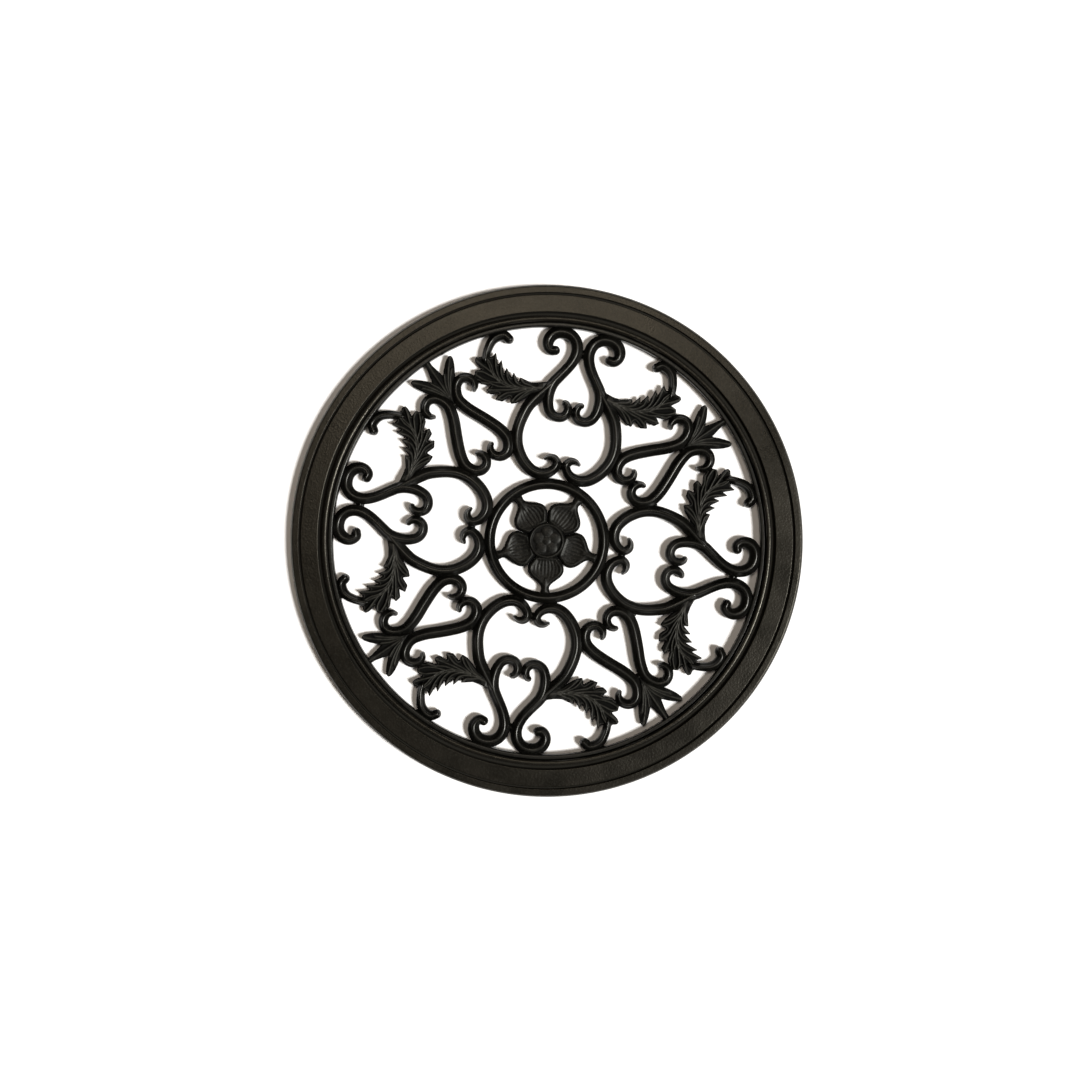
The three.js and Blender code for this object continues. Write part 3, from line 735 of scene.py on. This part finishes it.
class Relief:
    """A casting with a flat underside and a modelled top, drawn once in millimetres and placed many times.

    Its height function takes the points and their distances from the edge, and gives each point's height,
    crest (worn paint and painted highlight) and painted shade. The rows are the distances from the edge at
    which the top has rings of points."""

    def __init__(self, outline, height, underside, grid, rows):
        self.underside, self.rim = underside, len(outline)
        border = np.vstack([outline, outline[:1]])
        low, high = outline.min(0), outline.max(0)
        spots = np.array([(x + (i % 2) * grid / 2, y)
                          for i, y in enumerate(np.arange(low[1], high[1], grid * math.sqrt(.75)))
                          for x in np.arange(low[0], high[0], grid)])
        spots = spots[inside(spots, outline)]
        spots = spots[distance_to(spots, border) > rows[-1] + grid * .6]
        after = np.roll(outline, -1, axis=0)
        tangent = after - np.roll(outline, 1, axis=0)
        area = np.sum(outline[:, 0] * after[:, 1] - outline[:, 1] * after[:, 0])
        inward = np.stack([-tangent[:, 1], tangent[:, 0]], axis=1) * np.sign(area)
        inward /= np.linalg.norm(inward, axis=1)[:, None]
        rings = []
        for row in rows:
            ring = outline + inward * row
            ring = ring[inside(ring, outline)]
            rings.append(ring[distance_to(ring, border) > row * .93])
        self.top = np.vstack([outline, *rings, spots])
        self.faces, self.under_faces = triangles_over(self.top, self.rim), triangles_over(outline, self.rim)
        self.z, self.crest, self.recess = height(self.top, distance_to(self.top, border))

    def cast(self, node, turn=0, mirror=False):
        """The piece for one node, mirrored about the Y axis if asked, then turned about Z."""
        spots = turned_and_mirrored(self.top, turn, mirror) * MM
        verts = [(*p, z) for p, z in zip(spots, self.z)] + [(*p, self.underside) for p in spots[:self.rim]]
        first, n = len(spots), self.rim
        faces = self.faces + [[first + i for i in face] for face in self.under_faces]
        faces += [[i, (i + 1) % n, first + (i + 1) % n, first + i] for i in range(n)]
        crest, recess = (np.concatenate([np.clip(v, 0, 1), np.zeros(n)]) for v in (self.crest, self.recess))
        piece = new_piece(f"cast_{node}", verts, [], faces, crest=crest, recess=recess)
        close_up(piece.data)
        piece.data.shade_smooth()
        piece.data.set_sharp_from_angle(angle=SHARP_FROM)
        piece.data.materials.append(finish_for("leaf_iron"))
        settle(piece, "grate", node)


def make_leaves():
    """The eight acanthus leaves: a ridge for each lobe, creases between them and a hem along the teeth."""
    sizes = bpy.context.scene.drain_grate_reliefs
    grid, depth = sizes.leaf_grid / MM, sizes.leaf_depth / MM
    midrib = np.array([place(*p) for p in curve_through(LEAF_MIDRIB, 8)])
    lobes = [curve_through([place(*p) for p in lobe], 8) for lobe in LEAF_LOBES]
    full, sag, stem_rise, hem_rise = (LEAF_TOP - LEAF_UNDERSIDE) / MM, .9, 1.1, .6
    ridge_width, crest_width, hem_width, stem_width = 1.4, .8, .6, 6
    edge_round, reach = 2, 20

    def height(points, from_edge):
        to_ridge, to_midrib = nearest_of(points, [midrib, *lobes]), distance_to(points, midrib)
        from_foot = np.hypot(*(points - midrib[0]).T)
        from_stem, foot = ramp(from_foot, 12, 14), ramp(from_foot, 2, 9)
        hem = near(from_edge - edge_round, hem_width) * from_stem
        crease = depth * (1 - near(to_ridge, ridge_width, 1.8)) * from_stem
        stem = stem_rise * (1 - from_stem) * near(to_midrib, stem_width)
        z = full - (sag * ramp(to_midrib, 0, reach) ** 1.5 - stem) - crease
        z = z + hem_rise * hem * (1 - near(to_ridge, 1.3))
        z = np.minimum(z, full) * rounded_edge(from_edge, edge_round, .3)
        z = z * (.5 + .5 * foot * foot * (3 - 2 * foot))
        # Crest: worn paint and a painted highlight along the ridges and the hem. The last value paints shade
        # beside the ridges and along the edges.
        crest = (near(to_ridge, crest_width) + .7 * hem) * ramp(from_edge, 0, 1.8)
        beside_ridge = (to_ridge - crest_width) / crest_width * (1 - hem) * from_stem
        return LEAF_UNDERSIDE + z * MM, crest, np.maximum(beside_ridge, 1 - from_edge / 1.5)

    outline = eased_outline([place(*p) for p in LEAF_OUTLINE], 1.3, grid)
    relief = Relief(outline, height, LEAF_UNDERSIDE, grid, LEAF_ROWS)
    for number, turn, mirror in eighths():
        relief.cast(f"acanthus_leaf_{number}", turn, mirror)


def make_palmettes():
    """The four palmettes: three creased leaflets that fan out from between the diagonal arms."""
    sizes = bpy.context.scene.drain_grate_reliefs
    grid, depth = sizes.leaf_grid / MM, sizes.leaf_depth / MM * .9
    side = PALMETTE_SIDE[1:]
    corners = [(-aside, along) for aside, along in side] + side[::-1] + PALMETTE_SIDE[:1]
    lines = [curve_through([place(*from_diagonal(sign * aside, along)) for aside, along in drawn], 8)
             for drawn in PALMETTE_RIDGES for sign in (1, -1)]
    full, ridge_width, crest_width, edge_round = (LEAF_TOP - LEAF_UNDERSIDE) / MM, 1.7, .8, 2.8

    def height(points, from_edge):
        to_ridge = nearest_of(points, lines)
        z = full - depth * (1 - near(to_ridge, ridge_width, 1.5))
        from_foot = ramp(np.hypot(*(points - lines[0][0]).T), 4, 16)
        # Crest: worn paint and a painted highlight along the ridges; the last value paints shade between the
        # ridges and along the edges.
        crest = near(to_ridge, crest_width) * ramp(from_edge, 0, 1.5) * from_foot
        recess = np.maximum((to_ridge - 1) / 2.4, 1 - from_edge / 1.7)
        return LEAF_UNDERSIDE + z * rounded_edge(from_edge, edge_round, .34) * MM, crest, recess

    outline = eased_outline([place(*from_diagonal(*p)) for p in corners], 1.5, grid)
    relief = Relief(outline, height, LEAF_UNDERSIDE, grid, LEAF_ROWS)
    for quarter in range(QUARTERS):
        relief.cast(f"palmette_{quarter + 1}", quarter * math.pi / 2)


def petal_side():
    """Upper edge of the petal that points along +X, from the boss to the centre ring, in millimetres."""
    boss, reach = BOSS_R / MM, (RING_OUTER_R - RING_WALL - BOSS_R) / MM
    at = [np.array((boss + along * reach, aside * reach)) for along, aside in PETAL_SIDE]
    t = np.linspace(0, 1, 14)[:, None]
    first, second = ((1 - t) ** 3 * a + 3 * t * (1 - t) ** 2 * b + 3 * t ** 2 * (1 - t) * c + t ** 3 * d
                     for a, b, c, d in (at[:4], at[3:7]))
    edge = np.vstack([first, second[1:], at[7]])
    half = math.pi / PETALS
    most = np.tan(half) * edge[:, 0] - PETAL_GAP / math.cos(half)
    return np.column_stack([edge[:, 0], np.minimum(edge[:, 1], most)])


def make_petals():
    """The five rosette petals: cupped, with a raised rim, veins along the cup and a ridged stem."""
    sizes = bpy.context.scene.drain_grate_reliefs
    grid, cup_depth, vein_depth = sizes.grid / MM, sizes.cup_depth / MM, sizes.vein_depth / MM
    upper = petal_side()
    boss, full = BOSS_R / MM, (PETAL_TOP - LEAF_UNDERSIDE) / MM
    stem = np.array([(boss + along, 0) for along in PETAL_STEM], float)
    rim_inset, rim_width, rim_rise, stem_width, stem_rise, edge_round = 3.4, 1.5, .5, 1.6, .7, 3.6

    def height(points, from_edge):
        x, y = points.T
        across = y / np.maximum(np.interp(x, *upper.T), 1)
        to_tip = ramp(x, boss + 18, 8)
        rim, cup = near(from_edge - rim_inset, rim_width), ramp(from_edge, 3, 9) ** .8
        veins = .5 + .5 * np.cos(2 * math.pi * across * PETAL_VEINS)
        fade = ramp(from_edge, edge_round, 3) * (1 - to_tip)
        z = full - rim_rise - cup_depth * cup * (1 - to_tip) + rim_rise * rim * (1 - to_tip)
        z = z + vein_depth * (veins - .5) * fade
        on_stem = near(distance_to(points, stem), stem_width)
        z = (z + stem_rise * on_stem) * rounded_edge(from_edge, edge_round, .2)
        # Crest: worn paint and a painted highlight on the rim, the veins and the stem; the last value paints
        # shade along the edges.
        crest = .07 * rim * (1 - to_tip) + .09 * veins * fade + .13 * on_stem
        return LEAF_UNDERSIDE + z * MM, crest, 1 - from_edge / 2.2

    outline = eased_outline(np.vstack([(upper * (1, -1))[::-1], upper]), .5, grid)
    relief = Relief(outline, height, LEAF_UNDERSIDE, grid, PETAL_ROWS)
    for i in range(PETALS):
        relief.cast(f"rosette_petal_{i + 1}", FIRST_PETAL + i * 2 * math.pi / PETALS)


def make_boss():
    """The rosette's boss: a raised rim round a sunk floor with a dome and five round lobes."""
    sizes = bpy.context.scene.drain_grate_reliefs
    grid, drop = sizes.grid / MM, sizes.boss_floor_drop / MM
    radius, full = BOSS_R / MM, (CREST - UNDERSIDE) / MM
    rim_inset, rim_width, lobe_ring = 2.3, 1.5, 9.2
    lobe_radius, dome_radius, lobe_rise, dome_rise = 6.8, 5.2, 1.3, 1.6

    def height(points, from_edge):
        r = np.hypot(*points.T)
        rim, dome = near(np.abs(r - radius + rim_inset), rim_width, 2.6), half_ball(r, dome_radius)
        lobes = np.zeros(len(points))
        for i in range(PETALS):
            angle = FIRST_PETAL + (i + .5) * 2 * math.pi / PETALS
            middle = lobe_ring * np.array((math.cos(angle), math.sin(angle)))
            lobes = np.maximum(lobes, half_ball(np.hypot(*(points - middle).T), lobe_radius))
        z = full - drop + drop * rim + np.maximum(lobe_rise * lobes, dome_rise * dome)
        z = np.minimum(z * rounded_edge(from_edge, 1.8, .62), full)
        # The last value paints shade on the sunk floor between the rim, the lobes and the dome; crest adds
        # worn paint and a painted highlight, most on the rim.
        recess = .8 - 1.6 * np.maximum(np.maximum(lobes, dome), rim)
        return UNDERSIDE + z * MM, .3 * rim + .05 * lobes + .05 * dome, recess

    outline = circle(radius, round(2 * math.pi * radius / grid))
    Relief(outline, height, UNDERSIDE, grid, BOSS_ROWS).cast("rosette_boss")


# ---- Turned rings ------------------------------------------------------------


def ring_outline(corners):
    """A closed section in millimetres from corners of radius, height and rounding."""
    points = []
    for i, (r, z, rounding) in enumerate(corners):
        here = np.array((r, z), float)
        before = np.array(corners[i - 1][:2]) - here
        after = np.array(corners[(i + 1) % len(corners)][:2]) - here
        room_before, room_after = np.linalg.norm(before) * .48, np.linalg.norm(after) * .48
        before, after = before / np.linalg.norm(before), after / np.linalg.norm(after)
        half = math.acos(max(-1, min(1, before @ after))) / 2
        cut = min(rounding / math.tan(half), room_before, room_after)
        middle = (before + after) / np.linalg.norm(before + after)
        centre = here + middle * math.hypot(cut, cut * math.tan(half))
        a, b = here + before * cut - centre, here + after * cut - centre
        whole = math.pi - 2 * half
        if cut + FLAT_SUPPORT < room_before:
            points.append(here + before * (cut + FLAT_SUPPORT))
        for k in range(ARC_STEPS + 1):
            swept = whole * k / ARC_STEPS
            points.append(centre + (a * math.sin(whole - swept) + b * math.sin(swept)) / math.sin(whole))
        if cut + FLAT_SUPPORT < room_after:
            points.append(here + after * (cut + FLAT_SUPPORT))
    return np.array(points)


def turn_ring(node, body, slot, corners, middle, **inputs):
    """A piece turned from a section by the turned ring tree, whose other inputs go by their names."""
    outline = ring_outline(corners)
    n = len(outline)
    piece = new_piece(f"cast_{node}", [(r * MM, z * MM, 0) for r, z in outline],
                      [(i, (i + 1) % n) for i in range(n)], [])
    shaped_by(piece, once("Turned Ring", turned_ring), {
        "Path Radius": middle * MM, "Steps": bpy.context.scene.drain_grate_rim.round_steps,
        "Finish": finish_for(slot), **{key.replace("_", " ").title(): v for key, v in inputs.items()}})
    settle(piece, body, node)


def make_outer_frame():
    """The outer frame: ledge, bore, bead, cove, wide flat band, narrow groove and rounded outer edge."""
    s = bpy.context.scene.drain_grate_rim
    outer, bead_top = FRAME_OUTER_R / MM, BEAD_TOP / MM
    bore = HOOP_OUTER_R / MM + s.seat_clearance / MM
    band, groove = s.band_height / MM, s.groove_depth / MM
    cove, bead = s.cove_depth / MM, s.bead_width / MM
    inside_edge = (HOOP_OUTER_R - HOOP_WALL) / MM + LEDGE_SETBACK
    ledge_top = UNDERSIDE / MM - LEDGE_GAP
    inner_wall, outer_wall = bore + FRAME_WALL, outer - FRAME_WALL
    shoulder = band - SHOULDER_DROP
    near_edge, groove_out, groove_in, band_edge = (outer + across for across in GROOVE_SPAN)
    cove_in, cove_out, band_start = (bore + bead + across for across in COVE_SPAN)
    corners = [
        (inside_edge, 0, .4), (inner_wall, 0, .4), (inner_wall + DRAFT, HOLLOW_TOP, 1.2),
        (outer_wall - DRAFT, HOLLOW_TOP, 1.2), (outer_wall, 0, .4), (outer, 0, .5),
        (outer, band - EDGE_FALL, 1.4), (outer - EDGE_INSET, shoulder, 1.6), (near_edge, shoulder, .5),
        (groove_out, band - groove, .35), (groove_in, band - groove, .35), (band_edge, band, .6),
        (band_start, band, .9), (cove_out, band - cove, .8), (cove_in, band - cove, .6),
        (bore + bead, bead_top, bead * BEAD_ROUNDNESS), (bore + .1, bead_top, bead * BEAD_ROUNDNESS),
        (bore, ledge_top, .3), (inside_edge, ledge_top, .3),
    ]
    rib_length = outer_wall - inner_wall + RIB_OVERLAP
    # Worn paint and a painted highlight run from just above the band to the bead's top; painted shade darkens
    # all below the band, more than 4 mm in from the outer edge: the grooves, the cove and the hollow beneath.
    turn_ring("outer_frame", "frame", "frame_iron", corners, (bore + outer) / 2,
              crest_from=(band + .6) * MM, crest_to=bead_top * MM, recess_from=shoulder * MM,
              recess_to=(band - 1.2) * MM, recess_within=(outer - 4) * MM, ribs=RIBS,
              rib_size=(rib_length * MM, RIB_WIDTH * MM, RIB_HEIGHT * MM))


def make_hoop():
    """The grate's thin hoop, which sits on the frame's ledge."""
    lip = bpy.context.scene.drain_grate_rim.hoop_lip / MM
    outer, inner = HOOP_OUTER_R / MM, (HOOP_OUTER_R - HOOP_WALL) / MM
    low, top = UNDERSIDE / MM, HOOP_TOP / MM
    corners = [(inner, low, .5), (outer, low, .5), (outer, top, lip), (inner, top, lip * 1.3)]
    # The hoop's top millimetre gets worn paint and a painted highlight.
    turn_ring("grate_hoop", "grate", "hoop_iron", corners, (inner + outer) / 2,
              crest_from=(top - 1) * MM, crest_to=top * MM)


def make_centre_ring():
    """The ridged ring round the rosette, with the bars' own section."""
    spots = circle((RING_OUTER_R - RING_WALL / 2) / MM, CENTRE_RING_STATIONS)
    n = len(spots)
    line = np.column_stack([spots, np.full(n, RING_WALL / 2 / MM), np.ones(n)])
    sweep("centre_ring", [line], closed=True)


# ---- Stage -------------------------------------------------------------------


def put(name, data, spot, aim=None):
    """Stands a light or a camera at a spot, turned towards its aim if it has one."""
    made = bpy.data.objects.new(name, data)
    made.location = spot
    if aim is not None:
        made.rotation_mode = "QUATERNION"
        made.rotation_quaternion = (aim - Vector(spot)).to_track_quat("-Z", "Y")
    bpy.context.scene.collection.objects.link(made)
    return made


def make_stage():
    """A white floor, a soft sun, a fill light, a dim room that looks pale to the camera, and the camera."""
    scene = bpy.context.scene
    s = scene.drain_grate_stage
    far = FLOOR_REACH
    floor = new_piece("stage_floor", [(-far, -far, 0), (far, -far, 0), (far, far, 0), (-far, far, 0)], [],
                      [(0, 1, 2, 3)])
    white = bpy.data.materials.new("Stage White")
    white.use_nodes = True
    Net(white.node_tree).feed(white.node_tree.nodes["Principled BSDF"].inputs, FLOOR_LOOK)
    floor.data.materials.append(white)

    roll = s.camera_roll
    right, up = Vector((math.cos(roll), math.sin(roll), 0)), Vector((-math.sin(roll), math.cos(roll), 0))

    def spot(across, upwards, high):
        """A place given as the camera sees it."""
        return right * across + up * upwards + Vector((0, 0, high))

    key = bpy.data.lights.new("key_light", "SUN")
    key.energy, key.angle, key.color = s.key_strength, s.key_softness, KEY_COLOUR
    put("key_light", key, spot(*KEY_FROM), Vector())
    fill = bpy.data.lights.new("fill_light", "AREA")
    fill.shape, fill.size, fill.energy, fill.color = "DISK", FILL_WIDTH, s.fill_power, FILL_COLOUR
    put("fill_light", fill, spot(*FILL_FROM), Vector())

    scene.world = bpy.data.worlds.new("pale_room")
    scene.world.use_nodes = True
    net = Net(scene.world.node_tree)
    dim = net.tree.nodes["Background"]
    net.feed(dim.inputs, {"Color": ROOM_COLOUR, "Strength": s.room_light})
    pale = net.shade("Background", {"Color": (1, 1, 1, 1), "Strength": SEEN_BRIGHTNESS})
    seen = net.add("ShaderNodeLightPath").outputs["Is Camera Ray"]
    room = net.shade("MixShader", {0: seen, 1: dim.outputs[0], 2: pale})
    net.feed(net.tree.nodes["World Output"].inputs, {"Surface": room})
    scene.view_settings.view_transform = "Standard"

    lens = bpy.data.cameras.new("camera")
    lens.sensor_width = SENSOR
    lens.lens = SENSOR * (s.camera_height - s.band_level) / s.view_width
    lens.clip_end = CAMERA_REACH
    scene.camera = put("camera", lens, spot(-s.aside, s.above, s.camera_height))
    scene.camera.rotation_euler = (0, 0, roll)


# ---- Settings ----------------------------------------------------------------


def length_prop(name, description, default):
    return FloatProperty(name=name, description=description, default=default, unit="LENGTH",
                         subtype="DISTANCE", precision=5)


def angle_prop(name, description, degrees):
    return FloatProperty(name=name, description=description, default=math.radians(degrees),
                         unit="ROTATION", subtype="ANGLE")


def share_prop(name, description, default):
    return FloatProperty(name=name, description=description, default=default, min=0, max=1, subtype="FACTOR")


def colour_prop(name, description, default):
    return FloatVectorProperty(name=name, description=description, default=default, subtype="COLOR", size=3,
                               min=0, max=1, precision=4)


class DrainGrateRim(bpy.types.PropertyGroup):
    """Sizes of the frame and the hoop."""
    round_steps: IntProperty(name="Steps round", description="Facets round the frame", default=288, min=48)
    seat_clearance: length_prop("Seat clearance", "Gap between the hoop and the frame", .0005)
    band_height: length_prop("Band height", "Top of the wide flat band", .0146)
    groove_depth: length_prop("Edge groove", "Depth of the groove by the outer edge", .0032)
    cove_depth: length_prop("Cove depth", "Depth of the groove beside the bead", .0042)
    bead_width: length_prop("Bead width", "Width of the round bead", .0055)
    hoop_lip: length_prop("Hoop lip", "Rounding of the hoop's top edges", .0016)


class DrainGrateBars(bpy.types.PropertyGroup):
    """Sizes of the scrollwork's bars."""
    bar_width: length_prop("Bar width", "Width of an ordinary bar", .0128)
    station_length: length_prop("Station spacing", "Longest step along a straight bar", .0024)
    station_turn: angle_prop("Station turn", "Most that a bar turns between two sections", 6)
    end_drop: share_prop("End drop", "How far a bar's ridge falls at its ends", .5)
    web_rise: share_prop("Web height", "Height of a web as a share of a bar's", .45)
    # Worn paint and a painted highlight start at this share of a bar's height.
    crest_from: share_prop("Crest from", "Share of the height where rubbing starts", .84)


class DrainGrateReliefs(bpy.types.PropertyGroup):
    """Sizes of the leaves, the palmettes and the rosette."""
    grid: length_prop("Rosette grid", "Spacing of the points on the petals and the boss", .0007)
    leaf_grid: length_prop("Leaf grid", "Spacing of the points on leaves and palmettes", .0005)
    leaf_depth: length_prop("Leaf creases", "Depth of the creases between lobes", .0036)
    vein_depth: length_prop("Petal veins", "Depth of the fine veins on the petals", .0003)
    cup_depth: length_prop("Petal cup", "How far a petal is hollowed", .0013)
    boss_floor_drop: length_prop("Boss floor", "How far the boss is sunk inside its rim", .0026)


class DrainGrateFinish(bpy.types.PropertyGroup):
    """Colours of the painted iron, and how worn its crests are, which also sets their painted highlight."""
    band_colour: colour_prop("Frame colour", "Paint on the frame", (.0030, .0027, .0020))
    band_drift: colour_prop("Frame drift", "Warmer patches on the frame", (.0046, .0039, .0027))
    hoop_colour: colour_prop("Hoop colour", "Paint on the hoop", (.0016, .0015, .0012))
    scroll_colour: colour_prop("Scroll colour", "Paint on the scrollwork", (.0011, .0011, .0009))
    scroll_drift: colour_prop("Scroll drift", "Warmer patches on the scrollwork", (.0022, .0021, .0016))
    leaf_colour: colour_prop("Leaf colour", "Paint on leaves and petals", (.0012, .0012, .0010))
    # The worn-crest colour and the three strengths below also paint the highlight on crests.
    rubbed_and_highlight_colour: colour_prop("Rubbed and highlight colour", "Crests where the paint is rubbed", (.0215, .0210, .0180))
    band_wear_and_highlight: share_prop("Frame wear", "How rubbed the frame's crests are", .084)
    wear_and_highlight: share_prop("Scroll wear", "How rubbed the crests of the hoop and the bars are", .42)
    leaf_wear_and_highlight: share_prop("Leaf wear", "How rubbed the crests of leaves and petals are", 1)
    grains_per_metre: FloatProperty(name="Grains per metre", description="Fineness of the cast surface",
                                    default=520, min=50, max=5000)
    grain_depth: share_prop("Grain depth", "Strength of the cast surface", .7)


class DrainGrateStage(bpy.types.PropertyGroup):
    """Camera and light."""
    camera_height: length_prop("Camera height", "Camera above the floor", 1.6)
    camera_roll: angle_prop("Camera roll", "Turn of the camera about the upright axis", 10.97)
    view_width: length_prop("View width", "Width of the view at the focus level", 1.1777)
    band_level: length_prop("Focus level", "Height at which the view width is measured", .0125)
    aside: length_prop("Aside", "Camera to the left of the grate's axis", .0073)
    above: length_prop("Above", "Camera above the grate's axis in the view", .0009)
    key_strength: FloatProperty(name="Key light", description="Strength of the sun", default=5, min=0)
    key_softness: angle_prop("Key softness", "Angle that the sun spans", 16)
    fill_power: FloatProperty(name="Fill light", description="Power of the fill light", default=12.5, min=0,
                              unit="POWER")
    room_light: FloatProperty(name="Room light", description="Light from the room all round",
                              default=.045, min=0)


# ---- Operators ---------------------------------------------------------------


class Caster:
    """What the operators have in common."""
    bl_options = {"REGISTER", "UNDO"}


class DRAINGRATE_OT_outer_frame(Caster, bpy.types.Operator):
    """Cast the outer frame"""
    bl_idname = "draingrate.outer_frame"
    bl_label = "Outer Frame"

    def execute(self, context):
        make_outer_frame()
        return {"FINISHED"}


class DRAINGRATE_OT_grate_hoop(Caster, bpy.types.Operator):
    """Cast the hoop that carries the scrollwork"""
    bl_idname = "draingrate.grate_hoop"
    bl_label = "Grate Hoop"

    def execute(self, context):
        make_hoop()
        return {"FINISHED"}


class DRAINGRATE_OT_centre_ring(Caster, bpy.types.Operator):
    """Cast the ring round the rosette"""
    bl_idname = "draingrate.centre_ring"
    bl_label = "Centre Ring"

    def execute(self, context):
        make_centre_ring()
        return {"FINISHED"}


class DRAINGRATE_OT_s_scrolls(Caster, bpy.types.Operator):
    """Cast the eight S scrolls"""
    bl_idname = "draingrate.s_scrolls"
    bl_label = "S Scrolls"

    def execute(self, context):
        make_bars("s_scroll", S_SCROLL, S_SCROLL_WEBS)
        return {"FINISHED"}


class DRAINGRATE_OT_heart_arms(Caster, bpy.types.Operator):
    """Cast the eight heart arms"""
    bl_idname = "draingrate.heart_arms"
    bl_label = "Heart Arms"

    def execute(self, context):
        make_bars("heart_arm", HEART_ARM, HEART_ARM_WEBS)
        return {"FINISHED"}


class DRAINGRATE_OT_diagonal_arms(Caster, bpy.types.Operator):
    """Cast the eight diagonal arms"""
    bl_idname = "draingrate.diagonal_arms"
    bl_label = "Diagonal Arms"

    def execute(self, context):
        places = [(*from_diagonal(aside, along), wide) for aside, along, wide in DIAGONAL_ARM]
        webs = [(from_diagonal(*a), from_diagonal(*b), wide) for a, b, wide in DIAGONAL_ARM_WEBS]
        make_bars("diagonal_arm", places, webs)
        return {"FINISHED"}


class DRAINGRATE_OT_tendrils(Caster, bpy.types.Operator):
    """Cast the eight tendrils"""
    bl_idname = "draingrate.tendrils"
    bl_label = "Tendrils"

    def execute(self, context):
        make_bars("tendril", TENDRIL, TENDRIL_WEBS)
        return {"FINISHED"}


class DRAINGRATE_OT_acanthus_leaves(Caster, bpy.types.Operator):
    """Cast the eight acanthus leaves"""
    bl_idname = "draingrate.acanthus_leaves"
    bl_label = "Acanthus Leaves"

    def execute(self, context):
        make_leaves()
        return {"FINISHED"}


class DRAINGRATE_OT_palmettes(Caster, bpy.types.Operator):
    """Cast the four palmettes"""
    bl_idname = "draingrate.palmettes"
    bl_label = "Palmettes"

    def execute(self, context):
        make_palmettes()
        return {"FINISHED"}


class DRAINGRATE_OT_rosette_petals(Caster, bpy.types.Operator):
    """Cast the five rosette petals"""
    bl_idname = "draingrate.rosette_petals"
    bl_label = "Rosette Petals"

    def execute(self, context):
        make_petals()
        return {"FINISHED"}


class DRAINGRATE_OT_rosette_boss(Caster, bpy.types.Operator):
    """Cast the rosette's boss"""
    bl_idname = "draingrate.rosette_boss"
    bl_label = "Rosette Boss"

    def execute(self, context):
        make_boss()
        return {"FINISHED"}


class DRAINGRATE_OT_stage(Caster, bpy.types.Operator):
    """Set up the floor, the lights and the camera"""
    bl_idname = "draingrate.stage"
    bl_label = "Stage"

    def execute(self, context):
        make_stage()
        return {"FINISHED"}


OPERATORS = Caster.__subclasses__()  # in the order in which they are defined


class DRAINGRATE_PT_panel(bpy.types.Panel):
    """Lists the grate's pieces and their sizes."""
    bl_label = "Drain Grate"
    bl_idname = "DRAINGRATE_PT_panel"
    bl_space_type = "VIEW_3D"
    bl_region_type = "UI"
    bl_category = "Drain Grate"

    def draw(self, context):
        for title, group in GROUPS.items():
            box = self.layout.box()
            box.label(text=title.replace("drain_grate_", "").title())
            for key in group.__annotations__:
                box.prop(getattr(context.scene, title), key)
        for made in OPERATORS:
            self.layout.operator(made.bl_idname)


GROUPS = {
    "drain_grate_rim": DrainGrateRim, "drain_grate_bars": DrainGrateBars,
    "drain_grate_reliefs": DrainGrateReliefs, "drain_grate_finish": DrainGrateFinish,
    "drain_grate_stage": DrainGrateStage,
}
CLASSES = [*GROUPS.values(), *OPERATORS, DRAINGRATE_PT_panel]


def register():
    for each in CLASSES:
        bpy.utils.register_class(each)
    for title, group in GROUPS.items():
        setattr(bpy.types.Scene, title, PointerProperty(type=group))


def unregister():
    for title in GROUPS:
        delattr(bpy.types.Scene, title)
    for each in reversed(CLASSES):
        bpy.utils.unregister_class(each)


def main():
    """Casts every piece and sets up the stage."""
    register()
    for made in OPERATORS:
        getattr(bpy.ops.draingrate, made.bl_idname.split(".")[1])()
    bpy.context.view_layer.update()


if __name__ == "__main__":
    main()
